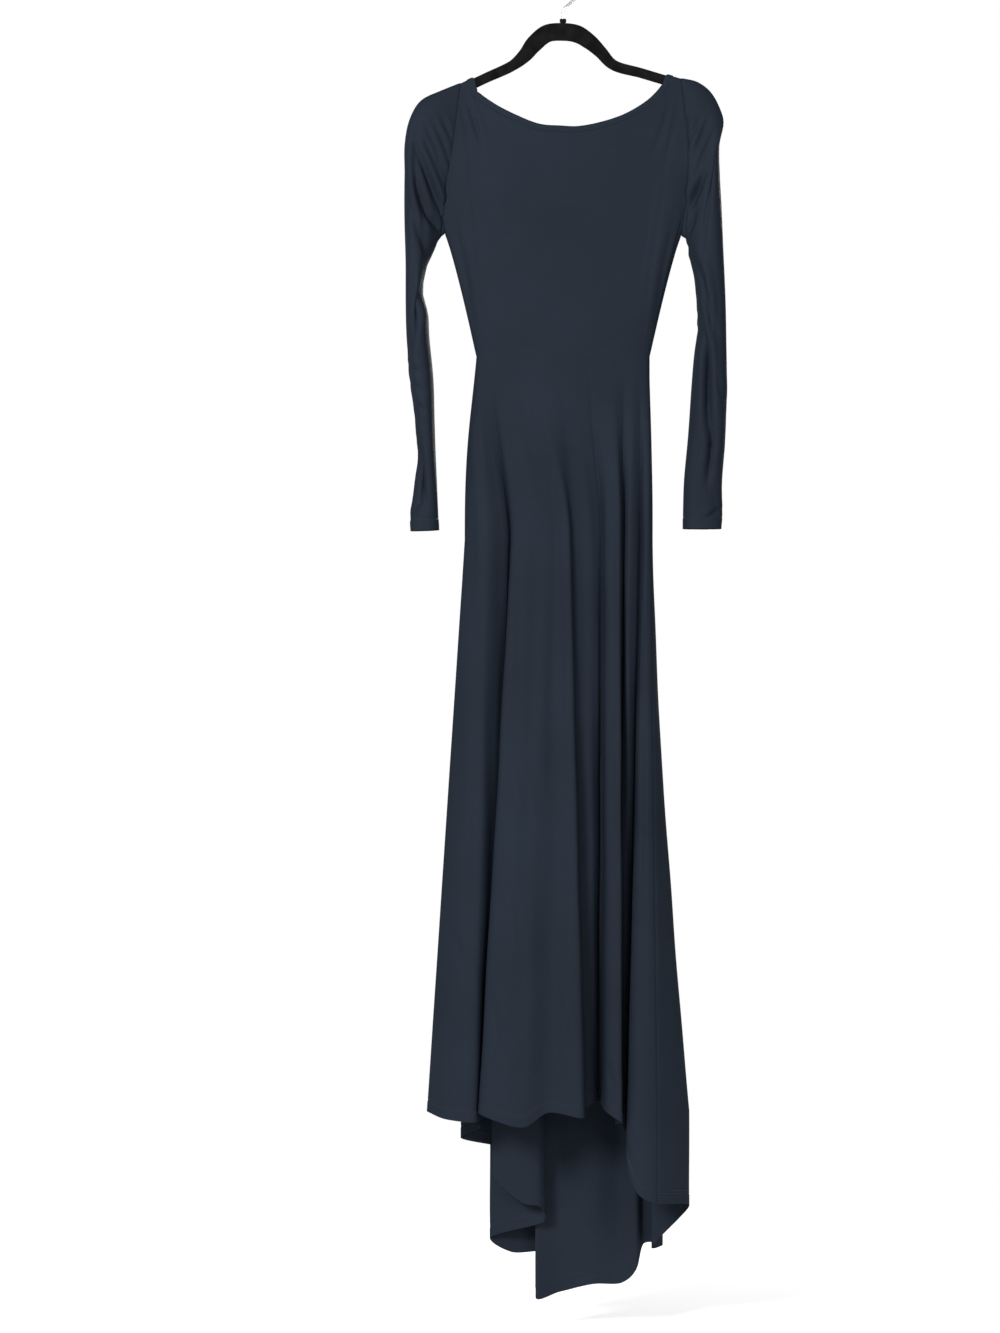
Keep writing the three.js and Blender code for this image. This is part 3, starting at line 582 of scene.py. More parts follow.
def body_normals(points, places):
    normals = grid_normals(points)
    panel_place = np.where(places <= FRONT_COLUMNS, places, BODY_COLUMNS - places)
    columns = np.where(places <= FRONT_COLUMNS, FRONT_COLUMNS, BACK_COLUMNS)
    from_seam = np.minimum(panel_place, columns - panel_place)
    face = np.where(places <= FRONT_COLUMNS, -1.0, 1.0)
    top = from_seam >= ARMHOLE_COLUMNS
    rows = len(FIRST_DROPS)
    normals[top, :rows] = depth_normals(points[top, :rows], np.repeat(face[top][:, None], rows, axis=1))
    seam = top & (from_seam <= NECK_START)
    slope = np.where(points[seam, 0, 0] < 0, -ARM_SLOPES["left"], ARM_SLOPES["right"])
    normals[seam, 0] = unit(np.stack([slope, np.zeros_like(slope), np.ones_like(slope)], axis=-1))
    return normals


# Creases

def crease(x, z, path, width, depth, lip):
    """Inward press along a path seen from the front, with a soft lip on one side of it."""
    path = np.array(path, float)
    ends = lengths(path)
    nearest = np.full(x.shape, 1e9)
    signed = np.zeros(x.shape)
    along = np.zeros(x.shape)
    for start, end, before, after in zip(path[:-1], path[1:], ends[:-1], ends[1:]):
        step = end - start
        size = after - before
        t = ((x - start[0]) * step[0] + (z - start[1]) * step[1]) / size ** 2
        held = np.clip(t, 0, 1)
        gap = np.hypot(x - start[0] - held * step[0], z - start[1] - held * step[1])
        side = np.sign((x - start[0]) * step[1] - (z - start[1]) * step[0])
        closer = gap < nearest
        nearest = np.where(closer, gap, nearest)
        signed = np.where(closer, -gap * side, signed)
        along = np.where(closer, (before + held * size) / ends[-1], along)
    taper = np.sin(math.pi * np.clip(along, 0.04, 0.96)) ** 0.7
    pressed = np.exp(-(nearest / width) ** 2)
    lip_gap = (signed - 2.1 * width * np.sign(lip)) / (1.4 * width)
    raised = abs(lip) * np.exp(-lip_gap ** 2)
    return depth * taper * (raised - pressed)


def creases(points, rows):
    x, z = points[..., 0], points[..., 2]
    return sum(crease(x, z, *row) for row in rows)


def long_folds(places, z):
    """Fine folds that run down the skirt between its fold lines."""
    total = np.zeros(z.shape)
    for place, width, upper, lower, depth in LONG_FOLDS:
        off = (places[:, None] - place) / width
        share = np.clip((upper - z) / (upper - lower), 0, 1)
        total -= depth * np.sin(math.pi * share) ** 0.8 * np.exp(-off ** 2)
    return total


def slack(u, z):
    """Slow unevenness of hanging cloth."""
    return (0.3 * np.sin(1.7 * u + 0.021 * z + 0.3)
            + 0.25 * np.sin(0.9 * u - 0.034 * z + 1.9)
            + 0.2 * np.sin(2.9 * u + 0.013 * z + 4.1))


def skirt_share(z):
    """0 on the smooth bodice, 1 on the loose skirt."""
    return smooth((WAIST_Z - 20 - z) / 160)


def seam_roll(distance):
    """Cloth swells beside a seam, so that the seam itself lies in a valley."""
    return 0.8 * (1 - np.exp(-(distance / 2.2) ** 2)) * np.exp(-(distance / 12) ** 2)


def hem_roll(height):
    """Turned-up hem: thicker below its stitching, with a dent along the stitches."""
    turned = 0.3 * smooth((CUFF_HEM + 0.5 - height) / 2)
    dent = -0.35 * np.exp(-((height - CUFF_HEM) / 1.5) ** 2)
    return turned + dent


def seam_distance(points, places):
    """Distance across the cloth from the nearest side seam."""
    distance = np.full(points.shape[:2], 1e4)
    for seam in (0, FRONT_COLUMNS):
        at = int(np.argmin(np.abs(places - seam)))
        turned = np.roll(points, -at, axis=0)
        gaps = np.linalg.norm(np.diff(turned, axis=0), axis=-1)
        ahead = np.concatenate([np.zeros((1, points.shape[1])), np.cumsum(gaps, axis=0)])
        closing = np.linalg.norm(turned[0] - turned[-1], axis=-1)
        around = np.minimum(ahead, ahead[-1] + closing - ahead)
        distance = np.minimum(distance, np.roll(around, at, axis=0))
    return distance


def body_relief(body):
    """All small forms of the panels, in mm outwards."""
    points, places = body["points"], body["places"]
    z = points[..., 2]
    is_front = (places <= FRONT_COLUMNS)[:, None]
    from_edge = smooth(body["drops"] / 14)
    from_hem = smooth(body["heights"] / 60)
    from_seam = smooth(seam_distance(points, places) / 14)
    on_front = np.where(is_front, creases(points, FRONT_CREASES), 0)
    on_back = np.where(is_front, 0, 0.8 * creases(points + np.array([0, 0, 16]), FRONT_CREASES))
    loose = slack(places[:, None], z) * skirt_share(z)
    soft = (on_front + on_back + long_folds(places, z) + loose) * from_edge * from_seam
    from_underarm = np.minimum(places % FRONT_COLUMNS, FRONT_COLUMNS - places % FRONT_COLUMNS)
    under_band = np.where(from_underarm > NECK_START, 1.9, 0)[:, None]
    from_sewn_edge = np.maximum(0, body["drops"] - under_band)
    sewn = seam_roll(from_sewn_edge) + seam_roll(seam_distance(points, places)) * from_edge
    return soft * mix(0.4, 1, from_hem) + sewn + hem_roll(body["heights"])


# Sleeves

def sleeve_angles():
    """Angles round a sleeve, spaced as the armhole's places are."""
    last = OVERARM_ANGLES[-1]
    even_steps = ARMHOLE_COLUMNS + 1 - len(OVERARM_ANGLES)
    even = [mix(last, 180, i / even_steps) for i in range(1, even_steps + 1)]
    half = [*OVERARM_ANGLES, *even]
    whole = [*half, *(360 - angle for angle in reversed(half[:-1]))]
    places = np.arange(2 * ARMHOLE_COLUMNS * SLEEVE_FINE) / SLEEVE_FINE
    return places, np.radians(np.interp(places, np.arange(len(whole)), whole))


def bend(value):
    return np.sign(value) * np.abs(value) ** SLEEVE_BOXINESS


def sleeve_rings(side):
    """Rings of a sleeve, each from the overarm down one face and up the other."""
    rows = SLEEVES[side]
    first_face = -1 if side == "left" else 1
    _, angles = sleeve_angles()
    outer = np.stack([rows["outer_x"], rows["outer_z"]], axis=-1)
    inner = np.stack([rows["inner_x"], rows["inner_z"]], axis=-1)
    middle = (outer + inner) / 2
    up = (outer - inner) / 2
    flat = middle[:, None] + up[:, None] * bend(np.cos(angles))[None, :, None]
    y = first_face * rows["depth"][:, None] * bend(np.sin(angles))[None]
    return np.stack([flat[..., 0], y, flat[..., 1]], axis=-1)


def around(values, places, wanted, period):
    """Values round a closed line, between its places."""
    return np.stack([np.interp(wanted, places, values[:, axis], period=period) for axis in range(3)], axis=-1)


def hollows(side, section, place):
    total = 0
    for middle, around, drift, reach, width, depth in SLEEVE_HOLLOWS[side]:
        along = (section - middle) / reach
        off = (place - around - drift * (section - middle)) / width
        total = total - depth * np.exp(-along ** 2 - off ** 2)
    return total


def sleeve_sections():
    """Places down a sleeve counted in sections, closer together at the seam and the cuff."""
    count = len(SLEEVES["left"]["depth"])
    even = np.linspace(0, count, count * SLEEVE_FINE_ROWS + 1)
    near_seam = (0.02, 0.05)
    near_cuff = count - np.array([0.02, 0.06, 0.13, 0.4, 0.5, 0.6, 0.65, 0.7, 0.75, 0.8])
    return np.unique(np.concatenate([even, near_seam, near_cuff]))


def sleeve_relief(side, points, normals, sections):
    """All small forms of a sleeve, in mm outwards."""
    places, _ = sleeve_angles()
    rows = LEFT_SLEEVE_CREASES if side == "left" else RIGHT_SLEEVE_CREASES
    facing_front = smooth(0.5 - 1.5 * normals[..., 1])
    lower = points + np.array([0, 0, 18])
    pressed = creases(points, rows) * facing_front + 0.8 * creases(lower, rows) * (1 - facing_front)
    drops = np.concatenate([np.zeros((len(places), 1)), np.cumsum(
        np.linalg.norm(np.diff(points, axis=1), axis=-1), axis=1)], axis=1)
    heights = drops[:, -1:] - drops
    large = hollows(side, sections[None], places[:, None])
    soft = (pressed + large + slack(places[:, None], points[..., 2])) * smooth(drops / 12)
    return soft * mix(0.5, 1, smooth(heights / 30)) + seam_roll(drops) + hem_roll(heights)


def sleeve_wall(side, body_points, normals, body_places):
    """Grid and normals of a sleeve, set into the armhole."""
    places, _ = sleeve_angles()
    tip = ARMHOLE_COLUMNS if side == "left" else FRONT_COLUMNS + ARMHOLE_COLUMNS
    armhole = around(body_points[:, 0], body_places, tip - places, BODY_COLUMNS)
    body_side = around(normals[:, 0], body_places, tip - places, BODY_COLUMNS)
    rings = sleeve_rings(side)
    sections = sleeve_sections()
    lines = np.concatenate([armhole[None], rings])
    points = np.swapaxes(spline(lines, sections), 0, 1)
    smooth_normals = grid_normals(points)
    points = points + smooth_normals * sleeve_relief(side, points, smooth_normals, sections)[..., None]
    own = grid_normals(points)
    shared = unit(unit(body_side) + own[:, 0])
    own[:, 0] = shared
    sleeve_places = (tip - body_places) % BODY_COLUMNS
    beside = sleeve_places <= 2 * ARMHOLE_COLUMNS
    normals[beside, 0] = unit(around(shared, places, sleeve_places[beside], 2 * ARMHOLE_COLUMNS))
    along = np.roll(armhole, -1, axis=0) - np.roll(armhole, 1, axis=0)
    points[:, 0] = armhole + unit(np.cross(along, shared)) * SEAM_GAP
    return points, own


# Meshes

def new_object(name, vertices, faces, materials, sharp_angle=50):
    mesh = bpy.data.meshes.new(name)
    mesh.from_pydata((vertices * MM).tolist(), [], faces)
    mesh.validate()
    mesh.shade_smooth()
    mesh.set_sharp_from_angle(angle=math.radians(sharp_angle))
    for material in materials:
        mesh.materials.append(material)
    obj = bpy.data.objects.new(name, mesh)
    bpy.context.scene.collection.objects.link(obj)
    return obj


def wall_faces(count, rows, closed):
    """Quads of a closed wall of cloth: two faces and the rims between them."""
    outer = np.arange(count * rows).reshape(count, rows)
    inner = outer + count * rows
    if closed:
        outer = np.concatenate([outer, outer[:1]])
        inner = np.concatenate([inner, inner[:1]])

    def quads(a, b, c, d):
        return np.stack([a, b, c, d], axis=-1).reshape(-1, 4)

    parts = [
        quads(outer[:-1, :-1], outer[:-1, 1:], outer[1:, 1:], outer[1:, :-1]),
        quads(inner[:-1, :-1], inner[1:, :-1], inner[1:, 1:], inner[:-1, 1:]),
        quads(outer[:-1, 0], outer[1:, 0], inner[1:, 0], inner[:-1, 0]),
        quads(outer[:-1, -1], inner[:-1, -1], inner[1:, -1], outer[1:, -1]),
    ]
    if not closed:
        parts.append(quads(outer[0, :-1], inner[0, :-1], inner[0, 1:], outer[0, 1:]))
        parts.append(quads(outer[-1, :-1], outer[-1, 1:], inner[-1, 1:], inner[-1, :-1]))
    return np.concatenate(parts).tolist()


def cloth_wall(name, points, normals, closed, material):
    count, rows = points.shape[:2]
    sides = [(points + normals * side * CLOTH).reshape(-1, 3) for side in (0.5, -0.5)]
    return new_object(name, np.concatenate(sides), wall_faces(count, rows, closed), [material])


def ring_faces(rings, sides, ends_closed):
    """Quads of a bar or a ring through sections, turned outwards."""
    index = np.arange(rings * sides).reshape(rings, sides)
    if not ends_closed:
        index = np.concatenate([index, index[:1]])
    turned = np.roll(index, -1, axis=1)
    faces = np.stack([index[:-1], turned[:-1], turned[1:], index[1:]], axis=-1).reshape(-1, 4).tolist()
    if ends_closed:
        faces.append(index[0][::-1].tolist())
        faces.append(index[-1].tolist())
    return faces


def bar(name, rings, material, ends_closed=True):
    count, sides = rings.shape[:2]
    faces = ring_faces(count, sides, ends_closed)
    return new_object(name, rings.reshape(-1, 3), faces, [material])


# Stitches

STITCH_PITCH = 3.0
STITCH_LENGTH = 2.3
STITCH_RADIUS = 0.3
STITCH_ROWS = (14.8, 18.5)


def stitch_row(line, normals):
    """Small spindles of thread along a line on the cloth."""
    reach = lengths(line)
    count = max(2, int(reach[-1] / STITCH_PITCH))
    middles = (np.arange(count) + 0.5) * reach[-1] / count

    def at(values, where):
        return np.stack([np.interp(where, reach, values[:, axis]) for axis in range(3)], axis=-1)

    start = at(line, middles - STITCH_LENGTH / 2)
    end = at(line, middles + STITCH_LENGTH / 2)
    out = unit(at(normals, middles))
    side = unit(np.cross(end - start, out))
    middle = (start + end) / 2
    ring = [out, side, -out, -side]
    corners = [start, end, *(middle + direction * STITCH_RADIUS for direction in ring)]
    vertices = np.stack(corners, axis=1).reshape(-1, 3)
    spindle = [(0, 2 + i, 2 + (i + 1) % 4) for i in range(4)] + [(1, 2 + (i + 1) % 4, 2 + i) for i in range(4)]
    return vertices, [[6 * n + i for i in face] for n in range(count) for face in spindle]


def stitches(name, points, normals, heights, closed, material):
    """Two rows of stitches above a hem."""
    all_vertices = []
    all_faces = []
    start = 0
    for height in STITCH_ROWS:
        line = np.stack([
            [np.interp(-height, -column_heights, column[:, axis]) for axis in range(3)]
            for column, column_heights in zip(points, heights)
        ])
        row_normals = np.stack([
            normal[int(np.argmin(np.abs(column_heights - height)))]
            for normal, column_heights in zip(normals, heights)
        ])
        if closed:
            line = np.concatenate([line, line[:1]])
            row_normals = np.concatenate([row_normals, row_normals[:1]])
        vertices, faces = stitch_row(line + row_normals * (CLOTH / 2), row_normals)
        all_vertices.append(vertices)
        all_faces += [[i + start for i in face] for face in faces]
        start += len(vertices)
    return new_object(name, np.concatenate(all_vertices), all_faces, [material])


# Materials

def node_material(name):
    material = bpy.data.materials.new(name)
    material.use_nodes = True
    nodes = material.node_tree.nodes
    return material, nodes, material.node_tree.links, nodes["Principled BSDF"]


def add_noise(nodes, links, coords, scale, detail=2.0):
    noise = nodes.new("ShaderNodeTexNoise")
    noise.inputs["Scale"].default_value = scale
    noise.inputs["Detail"].default_value = detail
    links.new(coords, noise.inputs["Vector"])
    return noise.outputs["Fac"]


def add_ramp(nodes, links, value, low, high):
    """Colour between two tones as a value goes from a third to two thirds."""
    ramp = nodes.new("ShaderNodeValToRGB")
    ramp.color_ramp.elements[0].position = 0.33
    ramp.color_ramp.elements[0].color = (*low, 1)
    ramp.color_ramp.elements[1].position = 0.67
    ramp.color_ramp.elements[1].color = (*high, 1)
    links.new(value, ramp.inputs["Fac"])
    return ramp.outputs["Color"]


def add_math(nodes, links, operation, first, second=None):
    node = nodes.new("ShaderNodeMath")
    node.operation = operation
    for socket, value in zip(node.inputs, (first, second)):
        if value is None:
            continue
        if isinstance(value, (int, float)):
            socket.default_value = value
        else:
            links.new(value, socket)
    return node.outputs["Value"]


def add_bump(nodes, links, height, strength, distance, principled):
    bump = nodes.new("ShaderNodeBump")
    bump.inputs["Strength"].default_value = strength
    bump.inputs["Distance"].default_value = distance
    links.new(height, bump.inputs["Height"])
    links.new(bump.outputs["Normal"], principled.inputs["Normal"])


def knit_height(nodes, links, coords):
    """Wales down the cloth and courses across it, a stitch about 1 mm wide."""
    split = nodes.new("ShaderNodeSeparateXYZ")
    links.new(coords, split.inputs["Vector"])
    wale_spacing = 1.1 * MM
    course_spacing = 0.8 * MM
    sideways = add_math(nodes, links, "MULTIPLY", split.outputs["Y"], 0.6)
    across = add_math(nodes, links, "ADD", split.outputs["X"], sideways)
    wales = add_math(nodes, links, "SINE", add_math(nodes, links, "MULTIPLY", across, math.tau / wale_spacing))
    down = add_math(nodes, links, "MULTIPLY", split.outputs["Z"], math.tau / course_spacing)
    courses = add_math(nodes, links, "MULTIPLY", add_math(nodes, links, "SINE", down), 0.5)
    return add_math(nodes, links, "ADD", wales, courses)


def jersey_material():
    material, nodes, links, principled = node_material("jersey")
    coords = nodes.new("ShaderNodeTexCoord").outputs["Object"]
    patches = add_noise(nodes, links, coords, 7.0, 3.0)
    yarn = add_noise(nodes, links, coords, 700.0, 2.0)
    tone = add_math(nodes, links, "ADD", add_math(nodes, links, "MULTIPLY", patches, 0.55),
                    add_math(nodes, links, "MULTIPLY", yarn, 0.45))
    links.new(add_ramp(nodes, links, tone, (0.0086, 0.0124, 0.0192), (0.0114, 0.0164, 0.0250)),
              principled.inputs["Base Color"])
    fuzz = add_math(nodes, links, "MULTIPLY", yarn, 1.2)
    knit = add_math(nodes, links, "ADD", knit_height(nodes, links, coords), fuzz)
    add_bump(nodes, links, knit, 0.25, 0.15 * MM, principled)
    principled.inputs["Roughness"].default_value = 0.68
    principled.inputs["Specular IOR Level"].default_value = 0.05
    return material


def thread_material():
    material, nodes, links, principled = node_material("stitching_thread")
    coords = nodes.new("ShaderNodeTexCoord").outputs["Object"]
    twist = add_noise(nodes, links, coords, 1500.0, 2.0)
    links.new(add_ramp(nodes, links, twist, (0.0085, 0.0115, 0.0168), (0.0138, 0.0182, 0.0256)),
              principled.inputs["Base Color"])
    add_bump(nodes, links, twist, 0.3, 0.1 * MM, principled)
    principled.inputs["Roughness"].default_value = 0.5
    return material


def flock_material():
    material, nodes, links, principled = node_material("flock")
    coords = nodes.new("ShaderNodeTexCoord").outputs["Object"]
    nap = add_noise(nodes, links, coords, 60.0, 4.0)
    fibres = add_noise(nodes, links, coords, 1800.0, 2.0)
    links.new(add_ramp(nodes, links, nap, (0.0028, 0.0028, 0.003), (0.0064, 0.0064, 0.007)),
              principled.inputs["Base Color"])
    add_bump(nodes, links, fibres, 0.5, 0.3 * MM, principled)
    principled.inputs["Roughness"].default_value = 0.92
    principled.inputs["Specular IOR Level"].default_value = 0.05
    principled.inputs["Sheen Weight"].default_value = 0.05
    principled.inputs["Sheen Roughness"].default_value = 0.4
    return material


def plated_material():
    material, nodes, links, principled = node_material("plated_wire")
    coords = nodes.new("ShaderNodeTexCoord").outputs["Object"]
    cloud = add_noise(nodes, links, coords, 90.0, 3.0)
    drawn = add_noise(nodes, links, coords, 900.0, 2.0)
    links.new(add_ramp(nodes, links, cloud, (0.55, 0.56, 0.57), (0.68, 0.69, 0.70)),
              principled.inputs["Base Color"])
    rough = add_math(nodes, links, "ADD", add_math(nodes, links, "MULTIPLY", cloud, 0.16), 0.12)
    links.new(rough, principled.inputs["Roughness"])
    add_bump(nodes, links, drawn, 0.12, 0.05 * MM, principled)
    principled.inputs["Metallic"].default_value = 1.0
    return material


def floor_material():
    material, nodes, links, principled = node_material("pale_floor")
    coords = nodes.new("ShaderNodeTexCoord").outputs["Object"]
    grain = add_noise(nodes, links, coords, 3.0, 3.0)
    links.new(add_ramp(nodes, links, grain, (0.95, 0.95, 0.95), (0.96, 0.96, 0.96)),
              principled.inputs["Base Color"])
    distance = nodes.new("ShaderNodeVectorMath")
    distance.operation = "LENGTH"
    links.new(coords, distance.inputs[0])
    fade = nodes.new("ShaderNodeMapRange")
    fade.interpolation_type = "SMOOTHSTEP"
    fade.inputs["From Min"].default_value = FLOOR_OPAQUE
    fade.inputs["From Max"].default_value = FLOOR_RADIUS
    fade.inputs["To Min"].default_value = 1
    fade.inputs["To Max"].default_value = 0
    links.new(distance.outputs["Value"], fade.inputs["Value"])
    links.new(fade.outputs["Result"], principled.inputs["Alpha"])
    principled.inputs["Roughness"].default_value = 0.9
    principled.inputs["Specular IOR Level"].default_value = 0.1
    return material


# Hanger, hook and collar

def hanger_rings():
    """Sections of the slab along both arms and the hump, with rounded tips."""
    def arm_row(x):
        upright = ARM_HEIGHT * math.hypot(1, ARM_SLOPES[side_of(x)])
        return (x, float(arm_top(x)) - upright / 2, ARM_HEIGHT)

    left = [arm_row(x) for x in (ARM_TIPS["left"], *(-spot for spot in ARM_SPOTS))]
    right = [arm_row(x) for x in (*reversed(ARM_SPOTS), ARM_TIPS["right"])]
    rows = np.array(left + HUMP + right, float)
    near_tip = np.array([0, 0.002, 0.008, 0.02, 0.04])
    last = len(rows) - 1
    places = np.unique(np.concatenate([np.linspace(0, last, 161), near_tip, last - near_tip]))
    middle = spline(rows[:, :2], places)
    tangent = unit(np.gradient(middle, axis=0))
    height = np.interp(places, np.arange(len(rows)), rows[:, 2])
    reach = lengths(middle)
    from_tip = np.minimum(reach, reach[-1] - reach)
    tip_radius = HANGER_THICK / 2
    rounding = np.sqrt(1 - (1 - np.minimum(from_tip / tip_radius, 1)) ** 2)
    radius = tip_radius * np.maximum(rounding, 0.15)
    return hanger_sections(middle, tangent, height - 2 * (tip_radius - radius), radius)


def hanger_sections(middle, tangent, height, radius):
    """Flat sides with half-round edges, square to the slab's line."""
    sides = 24
    angles = math.tau * (np.arange(sides) + 0.5) / sides
    up = np.stack([-tangent[:, 1], np.zeros(len(tangent)), tangent[:, 0]], axis=-1)
    straight = np.sign(np.sin(angles))[None] * (height / 2 - radius)[:, None]
    offset = straight + radius[:, None] * np.sin(angles)[None]
    rings = up[:, None] * offset[..., None]
    rings[..., 0] += middle[:, :1]
    rings[..., 2] += middle[:, 1:]
    rings[..., 1] = radius[:, None] * np.cos(angles)[None]
    return rings


def hook_rings():
    """Round wire over the rail, back to the middle and down into the collar, with a domed tip."""
    radius = HOOK_INNER_RADIUS + HOOK_WIRE / 2
    turns = np.radians(np.linspace(HOOK_TIP_ANGLE, HOOK_LAST_ANGLE, 14))
    bow = np.column_stack([radius * np.cos(turns), radius * np.sin(turns) - HOOK_INNER_RADIUS])
    rows = np.concatenate([bow, HOOK_SHANK])
    last = len(rows) - 1
    tip = np.array([0, 0.01, 0.03, 0.08, 0.16, 0.26])
    places = np.unique(np.concatenate([tip, np.linspace(0, last, 150)]))
    middle = spline(rows, places)
    tangent = unit(np.gradient(middle, axis=0))
    from_tip = np.minimum(lengths(middle) / (HOOK_WIRE / 2), 1)
    wire = HOOK_WIRE / 2 * np.maximum(np.sqrt(1 - (1 - from_tip) ** 2), 0.1)
    return hanger_sections(middle, tangent, 2 * wire, wire)


def collar_rings():
    """Turned collar with softened edges."""
    round_off = 0.8
    turns = np.linspace(0, math.pi / 2, 6)
    lower = [(COLLAR_RADIUS - round_off * (1 - math.sin(t)), COLLAR_BOTTOM_Z + round_off * (1 - math.cos(t)))
             for t in turns]
    upper = [(COLLAR_RADIUS - round_off * (1 - math.cos(t)), COLLAR_TOP_Z - round_off * (1 - math.sin(t)))
             for t in turns]
    profile = np.array(lower + upper)
    angles = math.tau * np.arange(40) / 40
    ring = np.stack([np.cos(angles), np.sin(angles), np.zeros(40)], axis=-1)
    rings = profile[:, 0][:, None, None] * ring[None]
    rings[..., 2] += profile[:, 1][:, None]
    return rings


# Neck band: its section straddles the panels' edge and is folded over at the top

BAND_SECTION = table(("up", "out"), [
    (-1.6, 0.62), (-1.75, 0.85), (-1.6, 1.1), (-0.8, 1.2), (1, 1.25), (3.2, 1.3), (5.2, 1.15),
    (6.3, 0.75), (6.7, 0), (6.3, -0.75), (5.2, -1.15), (3.2, -1.3), (1, -1.25), (-0.8, -1.2),
    (-1.6, -1.1), (-1.75, -0.85), (-1.6, -0.62), (0.15, -0.62), (0.15, 0.62),
])


def neck_loop(body_places):
    """Columns of the neck edge round both panels, from the left shoulder over the front."""
    front = (body_places >= NECK_START) & (body_places <= FRONT_COLUMNS - NECK_START)
    back = (body_places > FRONT_COLUMNS + NECK_START) & (body_places < BODY_COLUMNS - NECK_START)
    return np.concatenate([np.flatnonzero(front), np.flatnonzero(back)])


def band_rings(points, normals, body_places):
    """Folded strip above the neck edge, over both arms, with a rounded section."""
    loop = neck_loop(body_places)
    edge = points[loop, 0]
    out = normals[loop, 0]
    along = np.roll(edge, -1, axis=0) - np.roll(edge, 1, axis=0)
    square = unit(np.cross(out, along))
    slope = np.where(edge[:, 0] < 0, ARM_SLOPES["left"], ARM_SLOPES["right"])
    inward = unit(np.stack([-np.sign(edge[:, 0]), np.zeros(len(edge)), slope], axis=-1))
    places = body_places[loop]
    crossings = (NECK_START, FRONT_COLUMNS - NECK_START, FRONT_COLUMNS + NECK_START, BODY_COLUMNS - NECK_START)
    from_arm = np.min([np.abs(places - crossing) for crossing in crossings], axis=0)
    free = smooth((from_arm - 2) / 1.5)[:, None]
    up = unit(mix(inward, square, free))
    side = np.cross(along, up)
    out = unit(side * np.sign(np.sum(side * out, axis=-1, keepdims=True)))
    inner_reach = mix(0.8, 1.3, free)
    thick = np.maximum(BAND_SECTION["out"][None], -inner_reach)
    return edge[:, None] + up[:, None] * BAND_SECTION["up"][None, :, None] + out[:, None] * thick[..., None]


# The dress

jersey = jersey_material()
thread = thread_material()
body, front_count = joined_body()
base_normals = body_normals(body["points"], body["places"])
body["points"] = body["points"] + base_normals * body_relief(body)[..., None]
normals = body_normals(body["points"], body["places"])
sleeve_grids = {side: sleeve_wall(side, body["points"], normals, body["places"]) for side in SLEEVES}


def panel_piece(name, columns):
    """One panel's share of the body, with its seam edges drawn back by half the gap."""
    points = body["points"][columns].copy()
    for edge, beside in ((0, 1), (-1, -2)):
        points[edge] += unit(points[beside] - points[edge]) * SEAM_GAP / 2
    places = body["places"][columns]
    panel_place = np.where(places <= FRONT_COLUMNS, places, BODY_COLUMNS - places)
    across = np.where(places <= FRONT_COLUMNS, FRONT_COLUMNS, BACK_COLUMNS)
    from_seam = np.minimum(panel_place, across - panel_place)
    at_shoulder = (from_seam >= ARMHOLE_COLUMNS) & (from_seam <= NECK_START)
    points[at_shoulder, 0, 1] += np.sign(points[at_shoulder, len(FIRST_DROPS), 1]) * SEAM_GAP / 2
    cloth = cloth_wall(name, points, normals[columns], False, jersey)
    hem = stitches(name + "_hem_stitching", points[2:-2], normals[columns][2:-2],
                   body["heights"][columns][2:-2], False, thread)
    return cloth, hem


def sleeve_piece(name, side):
    points, own = sleeve_grids[side]
    cloth = cloth_wall(name, points, own, True, jersey)
    steps = np.linalg.norm(np.diff(points, axis=1), axis=-1)
    heights = np.concatenate([np.cumsum(steps[:, ::-1], axis=1)[:, ::-1], np.zeros((len(points), 1))], axis=1)
    cuff = stitches(name + "_cuff_stitching", points, own, heights, True, thread)
    return cloth, cuff


body_count = len(body["places"])
back_columns = np.append(np.arange(front_count - 1, body_count), 0)
front_cloth, front_hem = panel_piece("front_cloth", np.arange(front_count))
back_cloth, back_hem = panel_piece("back_cloth", back_columns)
left_sleeve, left_cuff = sleeve_piece("left_sleeve", "left")
right_sleeve, right_cuff = sleeve_piece("right_sleeve", "right")
neck_band = bar("neck_band", band_rings(body["points"], normals, body["places"]), jersey, ends_closed=False)

flock = flock_material()
plated = plated_material()
hanger = bar("flocked_hanger", hanger_rings(), flock)
hook = bar("wire_hook", hook_rings(), plated)
collar = bar("turned_collar", collar_rings(), flock)

# Every piece rides on the one body and stands for its node
for piece, node, slot in (
    (front_cloth, "front_panel", "jersey"),
    (back_cloth, "back_panel", "jersey"),
    (left_sleeve, "sleeve_left", "jersey"),
    (right_sleeve, "sleeve_right", "jersey"),
    (neck_band, "neck_binding", "jersey"),
    (hanger, "hanger_body", "flock"),
    (hook, "hanger_hook", "plated_wire"),
    (collar, "hook_collar", "flock"),
):
    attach(piece, "root")
    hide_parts(node)
for piece in (front_hem, back_hem, left_cuff, right_cuff):
    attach(piece, "root")


# Studio

FLOOR_Z = -1.905
FLOOR_OPAQUE = 0.7
FLOOR_RADIUS = 1.6
AMBIENT = 0.5
PHOTO_HEIGHT = 1.8662
CAMERA_DISTANCE = 6.0
AIM = Vector((-0.0882, 0, -0.9685))


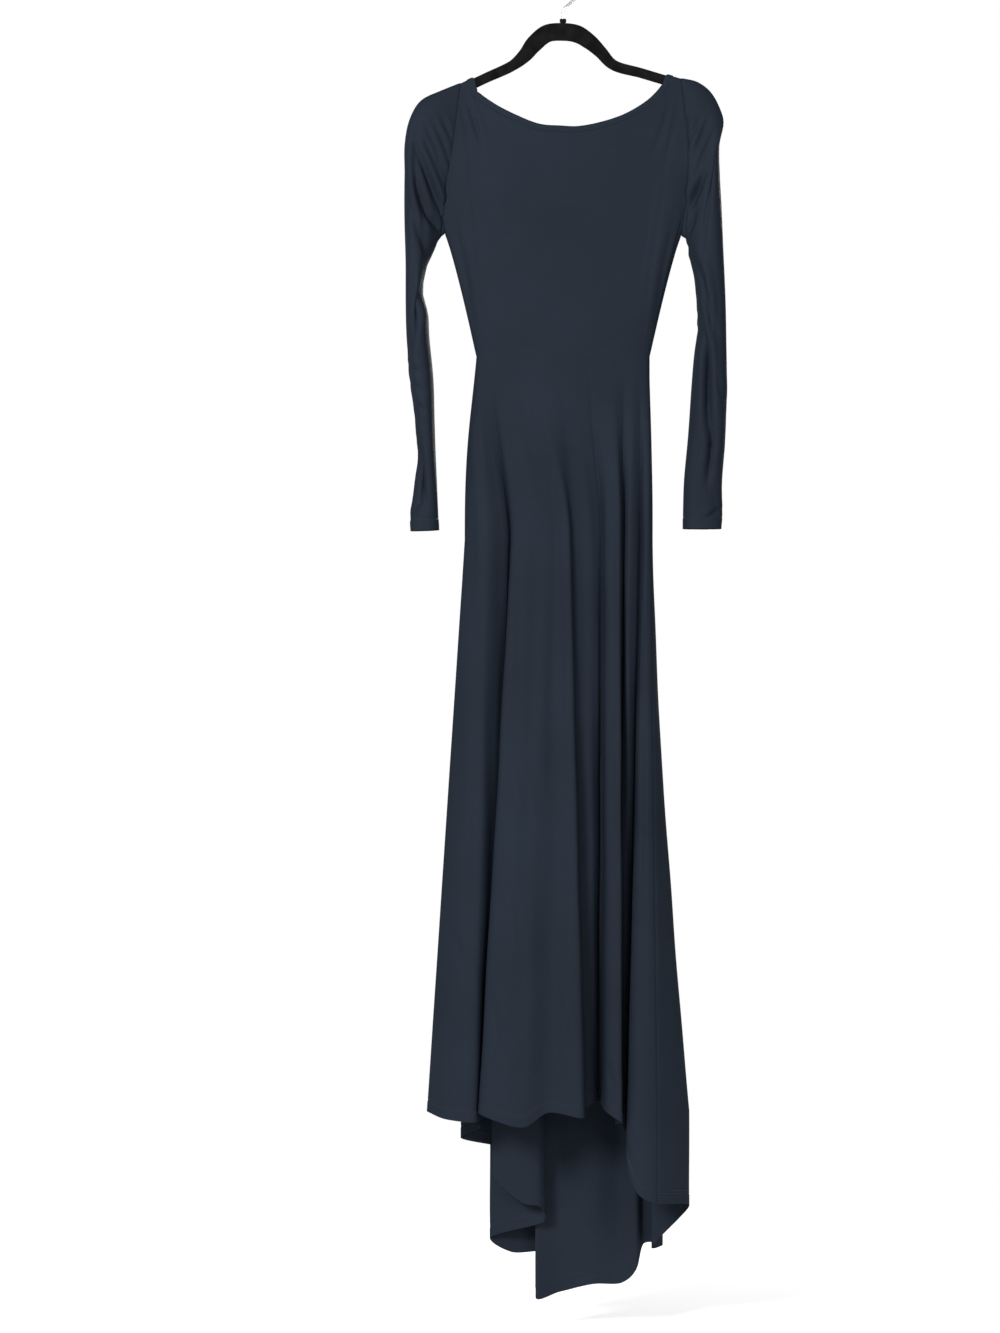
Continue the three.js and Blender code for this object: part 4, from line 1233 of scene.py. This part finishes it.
def studio_floor():
    half = FLOOR_RADIUS
    corners = [(-half, -half, 0), (half, -half, 0), (half, half, 0), (-half, half, 0)]
    mesh = bpy.data.meshes.new("pale_floor")
    mesh.from_pydata(corners, [], [(0, 1, 2, 3)])
    mesh.materials.append(floor_material())
    floor = bpy.data.objects.new("pale_floor", mesh)
    floor.location.z = FLOOR_Z
    bpy.context.scene.collection.objects.link(floor)


def soft_light(name, place, size, power):
    data = bpy.data.lights.new(name, "AREA")
    data.shape = "DISK"
    data.size = size
    data.energy = power
    light = bpy.data.objects.new(name, data)
    light.location = place
    light.rotation_euler = (Vector((0, 0, -0.8)) - light.location).to_track_quat("-Z", "Y").to_euler()
    bpy.context.scene.collection.objects.link(light)


def pale_world():
    world = bpy.data.worlds.new("pale_studio")
    world.use_nodes = True
    nodes, links = world.node_tree.nodes, world.node_tree.links
    ambient = nodes["Background"]
    ambient.inputs["Color"].default_value = (1, 1, 1, 1)
    ambient.inputs["Strength"].default_value = AMBIENT
    backdrop = nodes.new("ShaderNodeBackground")
    backdrop.inputs["Color"].default_value = (1, 1, 1, 1)
    seen = nodes.new("ShaderNodeMixShader")
    links.new(nodes.new("ShaderNodeLightPath").outputs["Is Camera Ray"], seen.inputs["Fac"])
    links.new(ambient.outputs["Background"], seen.inputs[1])
    links.new(backdrop.outputs["Background"], seen.inputs[2])
    links.new(seen.outputs["Shader"], nodes["World Output"].inputs["Surface"])
    bpy.context.scene.world = world


def photo_camera():
    data = bpy.data.cameras.new("photo_camera")
    data.sensor_fit = "VERTICAL"
    data.sensor_height = 36
    data.lens = data.sensor_height * CAMERA_DISTANCE / PHOTO_HEIGHT
    camera = bpy.data.objects.new("photo_camera", data)
    camera.location = AIM + Vector((0, -CAMERA_DISTANCE, 0))
    camera.rotation_euler = (math.pi / 2, 0, 0)
    bpy.context.scene.collection.objects.link(camera)
    bpy.context.scene.camera = camera


studio_floor()
pale_world()
soft_light("key_light", (-2.2, -3.8, 0.7), 1.4, 260)
soft_light("fill_light", (2.0, -3.6, -0.2), 2.4, 60)
soft_light("back_light", (0.8, 3.6, 0.8), 2.0, 140)
photo_camera()
bpy.context.scene.view_settings.view_transform = "Standard"
